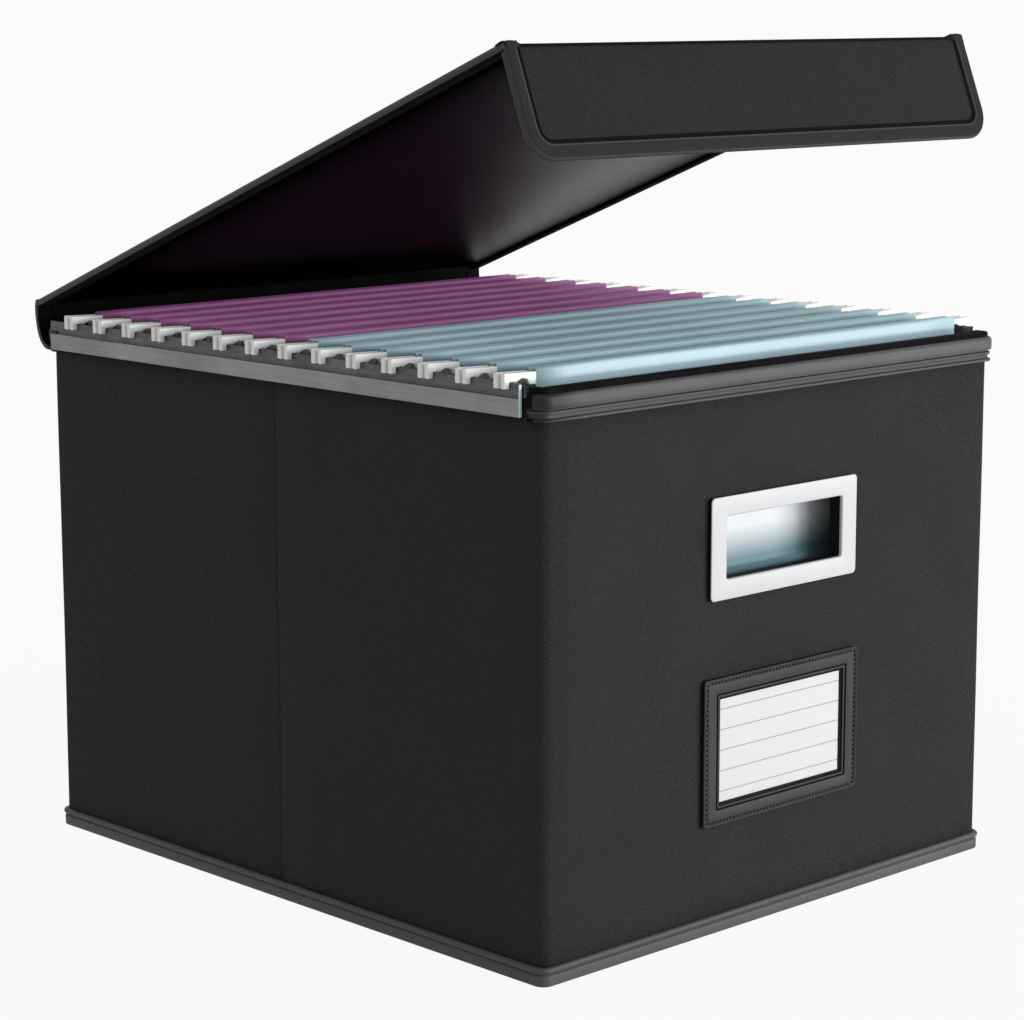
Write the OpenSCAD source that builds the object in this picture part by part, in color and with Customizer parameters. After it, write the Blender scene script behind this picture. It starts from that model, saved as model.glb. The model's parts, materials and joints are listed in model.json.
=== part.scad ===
// Portable file box: fabric over boards, a rail on each side wall, a bound lid and hanging folders.
// The origin is the middle of the underside. X runs along the front wall, which faces -Y, and Z is up.
// The lid is drawn shut and then swung open about its fabric hinge.

/* [Box] */
// Width over the fabric of the side walls
box_w = 318; // [300:1:340]
// Depth over the fabric of the front and back walls
box_d = 370; // [350:1:400]
// Height of the front and back walls
wall_h = 269; // [262:1:285]
// How much lower the side walls are, to make room for the rails
side_drop = 3.8; // [2:0.2:6]
// Outer radius of the upright corners
corner_r = 6; // [5:0.5:9]
// Thickness of the woven cover
cover_t = 1; // [0.6:0.1:1.4]
// Thickness of a wall board with its lining
board_t = 3; // [2:0.25:4]
// Thickness of the sewn-in base board
base_t = 3; // [2:0.25:5]
// Gap between the two halves of a side wall
fold_gap = 2; // [1:0.25:4]
// Depth of the crease that the fold leaves in the cover
crease_depth = 0.5; // [0.2:0.05:0.55]
// Width of the cloth tape inside each fold
fold_tape_w = 30; // [20:1:50]
// Thickness of the cloth tape inside each fold
fold_tape_t = 0.5; // [0.3:0.1:0.8]
// Thickness of the loose base insert
insert_t = 3; // [2:0.25:5]
// Clearance from the base insert to the walls
insert_gap = 1.5; // [0.5:0.25:4]

/* [Bindings] */
// Inner radius that a binding takes round an upright corner
bind_r = 4.2; // [4:0.1:5]
// Height of the binding round the base
base_bind_h = 9; // [7.5:0.25:12]
// How far the base binding stands proud of the cover
base_bind_out = 1.5; // [1.2:0.1:2.5]
// Radius of the piping along the top of the base binding
base_bead_r = 1.5; // [1:0.1:1.8]
// Rounding of the base binding's flat strip
base_soft_r = 0.7; // [0.3:0.1:1]
// Height of the binding over the front and back walls
rim_h = 15; // [13.5:0.25:18]
// How far the rim binding stands proud of the cover
rim_out = 2.6; // [2.2:0.1:3.4]
// Thickness of the rim binding over the top of a wall
rim_top_t = 3; // [2.6:0.1:4]
// Thickness of the inner leg of the rim binding
rim_in = 2.4; // [1.6:0.1:3]

/* [Rails] */
// Height of a rail's outer face
rail_h = 15; // [12:0.5:20]
// Thickness of a rail's outer leg, on which the folders hang
rail_t = 2.7; // [2:0.1:3.2]
// Height of the hanging lip above the side wall
lip_h = 8.1; // [7:0.1:10]
// Thickness of the web and inner leg that grip the side wall
rail_grip_t = 1.6; // [1:0.1:2.2]
// Distance from the front wall's face to a rail's end
rail_setback = 10.2; // [9:0.1:14]
// Gap between a rail's end and the rim binding
rail_end_gap = 1.8; // [0.5:0.1:3]
// Width of the groove along a rail's outer face
rail_groove_w = 1.2; // [0.6:0.1:2]
// Depth of the groove along a rail's outer face
rail_groove_d = 0.6; // [0.3:0.1:1]

/* [Handles] */
// Width of a handle bezel
bezel_w = 104.5; // [95:0.5:115]
// Height of a handle bezel
bezel_h = 49; // [44:0.5:56]
// Width of the finger window
window_w = 83; // [70:0.5:88]
// Height of the finger window
window_h = 30; // [24:0.5:34]
// Thickness of a bezel's flange
bezel_t = 2.6; // [2:0.1:4]
// Rounding of a bezel's outer edge
bezel_edge = 1.3; // [0.6:0.1:1.6]
// Radius of a bezel's corners
bezel_r = 3.5; // [2.5:0.1:6]
// Wall of the sleeve that lines the hand hole
sleeve_wall = 1.2; // [0.8:0.1:1.8]
// Distance from the top of the wall down to the middle of a handle
handle_drop = 82.5; // [60:0.5:90]
// Thickness of a handle's back plate
back_plate_t = 1.5; // [1:0.1:2.5]
// How far a back plate reaches past the hand hole
back_plate_rim = 7; // [5:0.5:10]

/* [Label] */
// Width of the label holder
label_w = 111.5; // [100:0.5:120]
// Height of the label holder
label_h = 71.5; // [62:0.5:76]
// Thickness of the label holder at its raised edge
label_t = 2.6; // [2.2:0.1:3.6]
// Height of the label holder's middle above the underside
label_z = 89; // [75:0.5:95]
// Width of the opening that shows the card
card_view_w = 87.5; // [76:0.5:92]
// Height of the opening that shows the card
card_view_h = 51; // [44:0.5:54]
// How far the card reaches under the frame on each side
card_lap = 3.5; // [2:0.25:5]
// Thickness of the card
card_t = 0.4; // [0.2:0.05:0.5]
// Depth of the pocket that the card slides in
pocket_t = 0.8; // [0.7:0.05:1]

/* [Folders] */
// Distance from the front wall's face to the middle of the first folder
folder_front = 21.7; // [20.5:0.1:28]
// Distance from the back wall's face to the middle of the last folder
folder_rear = 24.5; // [20.5:0.1:30]
// Height of a folder sleeve
sleeve_h = 238; // [220:1:245]
// Clearance from a rail's lip to the side of a centred sleeve
sleeve_side_gap = 9.8; // [8:0.1:14]
// How far the sleeves have slid to the right along their rods
sleeve_shift = 3.4; // [0:0.1:4]
// Thickness of the sleeve's card
sheet_t = 0.5; // [0.3:0.05:0.6]
// Distance between the two rods of a folder
rod_pitch = 4.2; // [4.2:0.1:5]
// Height of a rod
rod_h = 7.1; // [6.4:0.1:8]
// Thickness of a rod's steel strip
rod_t = 1.2; // [0.8:0.1:1.6]
// Thickness of the moulded hook on a rod's end
hook_t = 3.4; // [2.6:0.1:3.6]
// How far a hook reaches past the rail
hook_reach = 3.4; // [2.6:0.1:5]
// Length of the thick part of a hook
hook_l = 12; // [10:0.25:13]
// Length of the thinner moulded neck behind a hook
neck_l = 8; // [4:0.5:12]
// Height of a rod above the lip that its hook rests on
hook_over = 4.3; // [3.5:0.1:5]

/* [Lid] */
// Angle at which the lid stands open
lid_open = 21.1; // [0:0.1:60]
// Width of the lid
lid_w = 319; // [310:1:326]
// Clearance between the shut lid and the folders
lid_clear = 2.4; // [1:0.1:5]
// Thickness of the lid board with its fabric
lid_board_t = 2.6; // [2.2:0.1:4]
// Thickness of the lining under the lid
lining_t = 0.4; // [0.2:0.05:0.6]
// Height of the front flap
flap_h = 55; // [45:0.5:65]
// How much wider than the lid the front flap is
flap_over = 2.5; // [0:0.25:5]
// Thickness of the flap board with its fabric
flap_board_t = 2.4; // [2:0.1:4]
// Radius of the flap's lower corners
flap_r = 15; // [10:0.5:20]
// Thickness of the folded binding tape
tape_t = 0.8; // [0.4:0.05:1]
// Width of the binding tape on each face
tape_w = 8; // [6:0.25:9.5]
// Clearance between the shut flap and the rim binding
flap_clear = 0.4; // [0.3:0.1:1]
// Thickness of the hinge cloth on the lid's side of the fold
hinge_t = 1.6; // [1:0.1:1.8]

/* [Hidden] */
$fn = 48;
folders = 14;
blue_folders = 7; // The folders nearest the front are light blue, the rest purple
eps = 0.05; // Seating gap between pieces that touch
running = 0.3; // Clearance of pieces that move past each other

rim_top = wall_h + rim_top_t;
side_h = wall_h - side_drop;
base_top = cover_t + base_t;
wall_t = cover_t + board_t;
rail_top = side_h + lip_h;
rail_bottom = rail_top - rail_h;
rail_in_x = box_w / 2 + eps;
rail_out_x = rail_in_x + rail_t;
rail_end = box_d / 2 - rail_setback;

hole_w = window_w + 2 * (sleeve_wall + running);
hole_h = window_h + 2 * (sleeve_wall + running);
window_r = 2;
handle_z = wall_h - handle_drop;

card_w = card_view_w + 2 * card_lap;
card_h = card_view_h + 2 * card_lap;
label_band_t = 0.8 * label_t;
label_bead_w = 3; // Width of the raised outer edge
label_inner_w = 2; // Width of the raised edge round the card
label_r = 4;

rod_seat = rail_top + eps;
rod_top = rod_seat + hook_over;
rod_bottom = rod_top - rod_h;
rod_tip = rail_out_x + hook_reach;
neck_t = rod_t + 0.8;
channel_in = neck_t + 2 * 0.1;
channel_t = channel_in + 2 * sheet_t;
sleeve_top = rod_top + running + sheet_t;
sleeve_w = 2 * (rail_in_x - sleeve_side_gap);
sleeve_half = rod_pitch / 2 + channel_t / 2;
sleeve_tab = 8; // Height of the glued tab below the rod's channel
folder_pitch = (box_d - folder_front - folder_rear) / (folders - 1);

flap_w = lid_w + flap_over;
lid_under = sleeve_top + lid_clear;
lid_stack = lid_board_t + lining_t;
lid_top = lid_under + lid_stack + 2 * tape_t;
lid_board_z = lid_under + tape_t + lining_t;
flap_drop = lid_under - running - (lid_top - flap_h);
flap_nose = flap_board_t / 2 + tape_t;
flap_in_y = -(box_d / 2 + rim_out + flap_clear);
flap_mid_y = flap_in_y - flap_nose;
lid_nose = lid_stack / 2 + tape_t;
lid_front_y = flap_mid_y - flap_board_t / 2;
hinge_gap = 0.5; // From the rim binding out to the hinge cloth, and down to its fold
hinge_y = box_d / 2 + rim_out + hinge_gap + hinge_t / 2;
hinge_z = rim_top - hinge_gap;
lid_back_y = hinge_y + hinge_t / 2 + running;

function two_digits(i) = str(i < 9 ? "0" : "", i + 1);
function folder_name(i) = str("folder_", two_digits(i));
function rods_name(i) = str("folder_", two_digits(i), "_rods");
function folder_y(i) = -box_d / 2 + folder_front + i * folder_pitch;

// A rounded rectangle centred on the origin
module rounded(w, d, r) {
    square([w - 2 * r, d], center = true);
    square([w, d - 2 * r], center = true);
    for (x = [-1, 1], y = [-1, 1])
        translate([x * (w / 2 - r), y * (d / 2 - r)]) circle(r = r);
}

// Runs its 2D child round the edge of a rounded rectangle: x is the outset and y the height
module edge_run(w, d, r) {
    for (i = [0 : 3]) {
        long = i % 2 == 0 ? w : d;
        deep = i % 2 == 0 ? d : w;
        rotate([0, 0, 90 * i]) {
            translate([long / 2 - r, -deep / 2, 0]) rotate([90, 0, -90])
                linear_extrude(long - 2 * r) children();
            translate([long / 2 - r, r - deep / 2, 0]) rotate([0, 0, -90])
                rotate_extrude(angle = 90) translate([r, 0]) children();
        }
    }
}

// A plate with a rounded front edge, its back on z = 0
module soft_plate(w, h, r, t, edge) {
    linear_extrude(t - edge) rounded(w, h, r);
    linear_extrude(t) rounded(w - 2 * edge, h - 2 * edge, r - edge);
    edge_run(w, h, r) translate([-edge, t - edge]) circle(r = edge);
}

// Stands a flat drawing on the front wall's face: x stays, y becomes z, and height points to -Y
module on_front(z) {
    translate([0, -box_d / 2, z]) rotate([90, 0, 0]) children();
}

module to_back() {
    mirror([0, 1, 0]) children();
}

module to_left() {
    mirror([1, 0, 0]) children();
}

// The lid's swing from shut to where it stands
module open_lid() {
    translate([0, hinge_y, hinge_z]) rotate([-lid_open, 0, 0])
        translate([0, -hinge_y, -hinge_z]) children();
}

module cover_plan() {
    rounded(box_w - 2 * cover_t, box_d - 2 * cover_t, corner_r - cover_t);
}

// The hand hole through the front wall
module hand_hole() {
    translate([0, 0, -2 * wall_t]) linear_extrude(4 * wall_t) rounded(hole_w, hole_h, window_r + sleeve_wall);
}

// The strip of the plan that the front and back walls take up
module end_strips() {
    for (s = [-1, 1])
        translate([0, s * (box_d / 2 - wall_t / 2)]) square([2 * box_w, wall_t], center = true);
}

module outer_cover() color("#2c2c2e") difference() {
    translate([0, 0, cover_t]) {
        linear_extrude(side_h - cover_t) difference() {
            rounded(box_w, box_d, corner_r);
            cover_plan();
        }
        linear_extrude(wall_h - cover_t) intersection() {
            end_strips();
            difference() {
                rounded(box_w, box_d, corner_r);
                cover_plan();
            }
        }
    }
    on_front(handle_z) hand_hole();
    to_back() on_front(handle_z) hand_hole();
    for (s = [-1, 1])
        translate([s * box_w / 2, 0, wall_h / 2]) rotate([0, 0, 45])
            cube([crease_depth * sqrt(2), crease_depth * sqrt(2), 2 * wall_h], center = true);
}

module base_cover() color("#242426")
    linear_extrude(cover_t) rounded(box_w, box_d, corner_r);

module base_board() color("#8a7256")
    translate([0, 0, cover_t]) linear_extrude(base_t) cover_plan();

module base_insert() color("#1d1d1f")
    translate([0, 0, base_top]) linear_extrude(insert_t)
        rounded(box_w - 2 * (wall_t + insert_gap), box_d - 2 * (wall_t + insert_gap), insert_t);

module end_board() color("#1f1f21") difference() {
    translate([0, 0, base_top]) linear_extrude(wall_h - base_top) intersection() {
        cover_plan();
        translate([0, -box_d / 2 + wall_t / 2]) square([2 * box_w, wall_t], center = true);
    }
    on_front(handle_z) hand_hole();
}

// The front half of the right side wall
module side_board() color("#1f1f21")
    translate([0, 0, base_top]) linear_extrude(side_h - base_top) intersection() {
        cover_plan();
        translate([box_w / 2 - wall_t, -box_d / 2 + wall_t])
            square([wall_t, box_d / 2 - wall_t - fold_gap / 2]);
    }

module fold_tape() color("#19191b")
    translate([box_w / 2 - wall_t - fold_tape_t, -fold_tape_w / 2, base_top + insert_t + insert_gap])
        cube([fold_tape_t, fold_tape_w, rail_bottom - base_top - insert_t - 2 * insert_gap]);

// A flat strip below, a groove and a round bead above
module base_section() {
    bead_x = 0.4 * base_bind_out;
    strip_h = base_bind_h - 2 * base_bead_r - 0.6;
    square([bead_x, base_bind_h - base_bead_r]);
    square([base_bind_out - base_soft_r, strip_h]);
    translate([0, base_soft_r]) square([base_bind_out, strip_h - 2 * base_soft_r]);
    for (y = [base_soft_r, strip_h - base_soft_r])
        translate([base_bind_out - base_soft_r, y]) circle(r = base_soft_r);
    intersection() {
        translate([bead_x, base_bind_h - base_bead_r]) circle(r = base_bead_r);
        square([base_bind_h, base_bind_h]);
    }
}

module base_binding() color("#3f3f42") edge_run(box_w, box_d, bind_r) base_section();

// Outer face and top of the rim binding: a bead, a narrow band and a wide rounded band
module rim_section() {
    band_r = rim_out - 0.1;
    bead_r = 1.2;
    wall_top = rim_h - rim_top_t;
    difference() {
        union() {
            square([rim_out * 0.5, rim_h - band_r]);
            translate([rim_out * 0.5, bead_r]) circle(r = bead_r);
            translate([0, rim_h * 0.24]) square([rim_out * 0.78, rim_h * 0.13]);
            translate([0, rim_h * 0.42]) square([rim_out, rim_h * 0.58 - band_r]);
            translate([rim_out - band_r, rim_h - band_r]) circle(r = band_r);
            translate([-wall_t, wall_top]) square([wall_t + rim_out - band_r, rim_top_t]);
        }
        translate([-2 * wall_t, -rim_h]) square([2 * wall_t, rim_h + wall_top]);
    }
}

module rim_inner_leg() {
    translate([-wall_t - rim_in, 0]) square([rim_in, rim_h - rim_in / 2]);
    translate([-wall_t - rim_in / 2, rim_h - rim_in / 2]) circle(r = rim_in / 2);
    translate([-wall_t - rim_in / 2, rim_h - rim_top_t]) square([rim_in, rim_top_t]);
}

module rim_binding() color("#39393c") {
    run = box_w - 2 * bind_r;
    tail = rail_setback - bind_r - rail_end_gap;
    translate([run / 2, -box_d / 2, rim_top - rim_h]) rotate([90, 0, -90]) linear_extrude(run) {
        rim_section();
        rim_inner_leg();
    }
    for (s = [0, 1]) mirror([s, 0, 0])
        translate([box_w / 2 - bind_r, bind_r - box_d / 2, rim_top - rim_h]) {
            rotate([0, 0, -90]) rotate_extrude(angle = 90) translate([bind_r, 0]) rim_section();
            translate([bind_r, tail, 0]) rotate([90, 0, 0]) linear_extrude(tail) rim_section();
        }
}

// Grips the side wall below, with a standing lip outside that the folders hook over
module rail() color("#77777a") {
    web_z = side_h + eps;
    translate([0, rail_end, 0]) rotate([90, 0, 0]) linear_extrude(2 * rail_end) difference() {
        union() {
            translate([rail_in_x, rail_bottom]) square([rail_t, rail_h]);
            translate([box_w / 2 - wall_t - eps - rail_grip_t, web_z])
                square([wall_t + rail_grip_t + 3 * eps, rail_grip_t]);
            translate([box_w / 2 - wall_t - eps - rail_grip_t, rail_bottom])
                square([rail_grip_t, web_z + rail_grip_t - rail_bottom]);
        }
        translate([rail_out_x - rail_groove_d, web_z + rail_grip_t])
            square([2 * rail_groove_d, rail_groove_w]);
    }
}

// Flange outside, and a sleeve that lines the hand hole
module handle() color("#d5d6d8") on_front(handle_z) difference() {
    union() {
        soft_plate(bezel_w, bezel_h, bezel_r, bezel_t, bezel_edge);
        translate([0, 0, -wall_t - back_plate_t]) linear_extrude(wall_t + back_plate_t + bezel_t / 2)
            rounded(window_w + 2 * sleeve_wall, window_h + 2 * sleeve_wall, window_r + sleeve_wall);
    }
    translate([0, 0, -3 * wall_t]) linear_extrude(6 * wall_t) rounded(window_w, window_h, window_r);
}

module handle_plate() color("#8d8e91") on_front(handle_z)
    translate([0, 0, -wall_t - back_plate_t]) linear_extrude(back_plate_t) difference() {
        rounded(hole_w + 2 * back_plate_rim, hole_h + 2 * back_plate_rim, bezel_r);
        rounded(hole_w, hole_h, window_r + sleeve_wall);
    }

// A stitched frame with a raised edge, a flat band and a bevel, over a pocket open to the right
module label_holder() color("#343436") on_front(label_z) difference() {
    union() {
        linear_extrude(label_band_t) rounded(label_w - label_bead_w, label_h - label_bead_w, label_r / 2);
        difference() {
            soft_plate(label_w, label_h, label_r, label_t, label_bead_w / 2.5);
            linear_extrude(2 * label_t)
                rounded(label_w - 2 * label_bead_w, label_h - 2 * label_bead_w, label_r / 2);
        }
        linear_extrude(label_t) square([card_view_w + 2 * label_inner_w, card_view_h + 2 * label_inner_w],
            center = true);
    }
    translate([0, 0, -label_t]) linear_extrude(3 * label_t) square([card_view_w, card_view_h], center = true);
    translate([-card_w / 2 - running, -card_h / 2 - running, -eps])
        cube([card_w / 2 + label_w, card_h + 2 * running, pocket_t + eps]);
}

module label_card() color("#f4f4f2") on_front(label_z)
    translate([0, 0, (pocket_t - card_t) / 2]) linear_extrude(card_t) square([card_w, card_h], center = true);

// The back wall's side of the lid hinge, stitched over the rim binding
module hinge_strip() color("#29292b")
    translate([-lid_w / 2, box_d / 2 + rim_out + eps, rim_top - rim_h])
        cube([lid_w, hinge_y - hinge_t / 4 - box_d / 2 - rim_out - eps,
            hinge_z - hinge_t / 2 - running - rim_top + rim_h]);

module lid_back_strip() color("#29292b") open_lid() {
    translate([-lid_w / 2, hinge_y, hinge_z]) rotate([0, 90, 0]) cylinder(d = hinge_t, h = lid_w);
    translate([-lid_w / 2, hinge_y - hinge_t / 2, hinge_z]) cube([lid_w, hinge_t, lid_under - hinge_z]);
    translate([-lid_w / 2 + tape_w, hinge_y - hinge_t / 2, lid_under - eps])
        cube([lid_w - 2 * tape_w, hinge_t, lid_board_z - lid_under + eps]);
}

// The board with its fabric, rounded where the fabric folds over its front edge
module lid_board() color("#2c2c2e") open_lid()
    translate([-lid_w / 2 + lid_nose / 2, lid_front_y + lid_board_t / 2, lid_board_z]) {
        cube([lid_w - lid_nose, lid_back_y - lid_front_y - lid_board_t / 2, lid_board_t]);
        translate([0, 0, lid_board_t / 2]) rotate([0, 90, 0]) cylinder(d = lid_board_t, h = lid_w - lid_nose);
    }

module lid_lining() color("#151517") open_lid()
    translate([-lid_w / 2 + lid_nose / 2, lid_front_y, lid_board_z - lining_t])
        cube([lid_w - lid_nose, hinge_y - hinge_t / 2 - lid_front_y - eps, lining_t]);

// Tape folded over an edge: the nose is at x = 0, and the slot takes a board of that thickness
module folded_tape(stack) {
    nose = stack / 2 + tape_t;
    difference() {
        union() {
            translate([-nose, 0]) circle(r = nose);
            translate([-tape_w, -nose]) square([tape_w - nose, 2 * nose]);
        }
        translate([-2 * tape_w, -stack / 2]) square([2 * tape_w - nose / 2, stack]);
    }
}

module lid_side_bindings() color("#313134") open_lid()
    for (s = [0, 1]) mirror([s, 0, 0])
        translate([lid_w / 2, lid_back_y, lid_under + lid_nose]) rotate([90, 0, 0])
            linear_extrude(lid_back_y - lid_front_y) folded_tape(lid_stack);

// Lays the flap's flat drawing, which hangs from y = 0 to -Y, against the shut lid's front edge
module hang_flap() {
    open_lid() translate([0, flap_mid_y, lid_under - running]) rotate([90, 0, 0]) children();
}

module flap_board() color("#2c2c2e") hang_flap() {
    w = flap_w - flap_nose;
    drop = flap_drop - flap_nose / 2;
    r = flap_r - flap_nose / 2;
    translate([0, 0, -flap_board_t / 2]) linear_extrude(flap_board_t) {
        translate([-w / 2, r - drop]) square([w, drop - r]);
        translate([r - w / 2, -drop]) square([w - 2 * r, drop]);
        for (s = [-1, 1]) translate([s * (w / 2 - r), r - drop]) circle(r = r);
    }
}

module flap_binding() color("#313134") hang_flap() {
    translate([flap_w / 2 - flap_r, -flap_drop, 0]) rotate([90, 0, -90])
        linear_extrude(flap_w - 2 * flap_r) folded_tape(flap_board_t);
    for (s = [0, 1]) mirror([s, 0, 0]) {
        translate([flap_w / 2 - flap_r, flap_r - flap_drop, 0]) rotate([0, 0, -90])
            rotate_extrude(angle = 90) translate([flap_r, 0]) folded_tape(flap_board_t);
        translate([flap_w / 2, 0, 0]) rotate([90, 0, 0])
            linear_extrude(flap_drop - flap_r) folded_tape(flap_board_t);
    }
}

// Half of a sleeve's section: the leaf, the channel round its rod and the glued tab below
module leaf_section() {
    y_out = sleeve_half;
    y_in = sleeve_half - channel_t;
    channel_bottom = rod_bottom - running;
    translate([y_out - sheet_t, sleeve_top - sleeve_h + y_out]) square([sheet_t, sleeve_h - y_out]);
    translate([y_in, channel_bottom - sheet_t]) difference() {
        square([channel_t, sleeve_top - channel_bottom + sheet_t]);
        translate([sheet_t, sheet_t]) square([channel_in, sleeve_top - channel_bottom - sheet_t]);
    }
    translate([y_out - 2 * sheet_t, channel_bottom - sleeve_tab]) square([sheet_t, sleeve_tab]);
}

// One folded card sleeve, open at both sides, with a round fold at the bottom
module sleeve() {
    fold_z = sleeve_top - sleeve_h + sleeve_half;
    translate([sleeve_shift - sleeve_w / 2, 0, 0]) rotate([90, 0, 90]) linear_extrude(sleeve_w) {
        leaf_section();
        mirror([1, 0]) leaf_section();
        translate([0, fold_z]) intersection() {
            difference() {
                circle(r = sleeve_half);
                circle(r = sleeve_half - sheet_t);
            }
            translate([-sleeve_half, -sleeve_half]) square([2 * sleeve_half, sleeve_half]);
        }
    }
}

// The side view of a moulded hook, notched where it sits on the rail's lip
module hook_view() {
    tip_r = hook_over / 3;
    notch_in = rail_in_x - running;
    notch_out = rail_out_x + running;
    difference() {
        union() {
            translate([rod_tip - hook_l, rod_bottom]) square([hook_l - tip_r, rod_h]);
            translate([rod_tip - hook_l, rod_bottom + tip_r]) square([hook_l, rod_h - 2 * tip_r]);
            for (z = [rod_bottom, rod_top - 2 * tip_r]) translate([rod_tip - tip_r, z + tip_r]) circle(r = tip_r);
        }
        translate([notch_in, rod_bottom - rod_h]) square([notch_out - notch_in, rod_h + rod_seat - rod_bottom]);
    }
}

// A steel strip with a moulded hook at each end
module rod() {
    bar = 2 * (rod_tip - hook_l);
    translate([-bar / 2, -rod_t / 2, rod_bottom]) cube([bar, rod_t, rod_h]);
    for (s = [0, 1]) mirror([s, 0, 0]) {
        translate([bar / 2 - neck_l, -neck_t / 2, rod_bottom]) cube([neck_l, neck_t, rod_h]);
        translate([0, hook_t / 2, 0]) rotate([90, 0, 0]) linear_extrude(hook_t) hook_view();
    }
}

module folder(i) color(i < blue_folders ? "#b4ccd8" : "#8a5f86")
    translate([0, folder_y(i), 0]) sleeve();

module folder_rods(i) color("#ececea")
    for (s = [-1, 1]) translate([0, folder_y(i) + s * rod_pitch / 2, 0]) rod();

outer_cover();
base_cover();
end_board();  // front_board
to_back() end_board();  // back_board
to_left() side_board();  // left_front_board
to_left() to_back() side_board();  // left_rear_board
side_board();  // right_front_board
to_back() side_board();  // right_rear_board
to_left() fold_tape();  // left_fold_tape
fold_tape();  // right_fold_tape
base_board();
base_insert();
base_binding();
rim_binding();  // front_rim_binding
to_back() rim_binding();  // back_rim_binding
to_left() rail();  // left_rail
rail();  // right_rail
handle();  // front_handle
handle_plate();  // front_handle_plate
to_back() handle();  // back_handle
to_back() handle_plate();  // back_handle_plate
label_holder();
label_card();
hinge_strip();
lid_board();
lid_lining();
lid_side_bindings();
lid_back_strip();
flap_board();
flap_binding();
for (i = [0 : folders - 1]) folder(i);
for (i = [0 : folders - 1]) folder_rods(i);
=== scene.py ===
# Portable file box: twill over boards, a lid on a cloth hinge, two rails and fourteen hanging folders
import json
import math

import bmesh
import bpy
from mathutils import Matrix, Vector, noise


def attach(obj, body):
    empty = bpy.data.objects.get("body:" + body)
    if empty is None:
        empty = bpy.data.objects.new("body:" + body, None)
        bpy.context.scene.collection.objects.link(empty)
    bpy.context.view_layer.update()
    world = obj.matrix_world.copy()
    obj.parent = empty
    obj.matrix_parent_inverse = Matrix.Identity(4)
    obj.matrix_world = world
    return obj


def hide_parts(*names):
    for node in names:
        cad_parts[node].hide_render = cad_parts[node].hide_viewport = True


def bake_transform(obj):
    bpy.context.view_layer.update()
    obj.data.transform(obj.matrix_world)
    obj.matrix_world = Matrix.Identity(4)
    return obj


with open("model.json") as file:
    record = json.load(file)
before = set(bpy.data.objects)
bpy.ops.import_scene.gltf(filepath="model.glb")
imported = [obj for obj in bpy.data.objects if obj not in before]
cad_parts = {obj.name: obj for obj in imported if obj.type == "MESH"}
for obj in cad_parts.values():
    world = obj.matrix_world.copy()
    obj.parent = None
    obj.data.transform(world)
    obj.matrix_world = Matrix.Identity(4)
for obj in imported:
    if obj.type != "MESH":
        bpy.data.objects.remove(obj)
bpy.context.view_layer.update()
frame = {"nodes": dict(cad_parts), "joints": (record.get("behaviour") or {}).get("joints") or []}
scene = bpy.context.scene
nodes = frame["nodes"]
print("frame loaded")

# Pieces are drawn in millimetres. Those of the lid and flap are drawn with the lid shut, as in the CAD.
toMetres = Matrix.Scale(0.001, 4)
lidHinge = next(j for j in frame["joints"] if j["name"] == "lid_hinge")
hingePoint = Vector(lidHinge["pos_m"]) * 1000
swing = math.radians(lidHinge["range_deg"][0])
openLid = Matrix.Translation(hingePoint) @ Matrix.Rotation(swing, 4, "X") @ Matrix.Translation(-hingePoint)
shutLid = openLid.inverted()
lidPlace = toMetres @ openLid
lidDepth = (openLid.to_3x3() @ Vector((0, 1, 0))).normalized()
lidHeight = (openLid.to_3x3() @ Vector((0, 0, 1))).normalized()


def corners(node, shut=False):
    # lowest and highest corner of a CAD node in millimetres, with the lid shut where asked
    points = [v.co * 1000 for v in nodes[node].data.vertices]
    if shut:
        points = [shutLid @ p for p in points]
    return (Vector([min(p[i] for p in points) for i in range(3)]),
            Vector([max(p[i] for p in points) for i in range(3)]))


wallLow, wallHigh = corners("outer_cover")
wallX, wallY = wallHigh.x, wallHigh.y


# Camera, fitted to the photograph's straight edges
view = {"place": (-1.0292, -1.0750, 0.4385), "turn": 43.725, "down": 10.013, "roll": -0.089, "lens": 101.61}
cameraData = bpy.data.cameras.new("camera")
cameraData.lens = view["lens"]
cameraData.sensor_width = 36
cameraData.sensor_fit = "HORIZONTAL"
camera = bpy.data.objects.new("camera", cameraData)
look = Matrix.Rotation(math.radians(-view["turn"]), 4, "Z")
look = look @ Matrix.Rotation(math.radians(90 - view["down"]), 4, "X")
look = look @ Matrix.Rotation(math.radians(view["roll"]), 4, "Z")
camera.matrix_world = Matrix.Translation(view["place"]) @ look
scene.collection.objects.link(camera)
scene.camera = camera
scene.view_settings.view_transform = "Standard"
print("camera placed")


# Materials

def linear(hexText):
    parts = [int(hexText[i:i + 2], 16) / 255 for i in (1, 3, 5)]
    return tuple(p / 12.92 if p <= 0.04045 else ((p + 0.055) / 1.055) ** 2.4 for p in parts) + (1.0,)


def metres(span):
    return [place * 0.001 for place in span]


def addNode(tree, kind, settings=None, links=None):
    node = tree.nodes.new(kind)
    for key, value in (settings or {}).items():
        if isinstance(key, str) and hasattr(node, key):
            setattr(node, key, value)
        else:
            node.inputs[key].default_value = value
    for key, output in (links or {}).items():
        tree.links.new(output, node.inputs[key])
    return node


def calc(tree, operation, *values):
    # values are numbers or outputs of other nodes
    node = addNode(tree, "ShaderNodeMath", {"operation": operation})
    for socket, value in zip(node.inputs, values):
        if isinstance(value, bpy.types.NodeSocket):
            tree.links.new(value, socket)
        else:
            socket.default_value = value
    return node.outputs[0]


def axisOf(tree, where, axis):
    return addNode(tree, "ShaderNodeSeparateXYZ", links={"Vector": where}).outputs[axis]


def remap(tree, value, old, new, smooth=False):
    # carries a value over from one span to another
    settings = {"From Min": old[0], "From Max": old[1], "To Min": new[0], "To Max": new[1]}
    if smooth:
        settings["interpolation_type"] = "SMOOTHSTEP"
    return addNode(tree, "ShaderNodeMapRange", settings, {"Value": value}).outputs[0]


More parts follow.
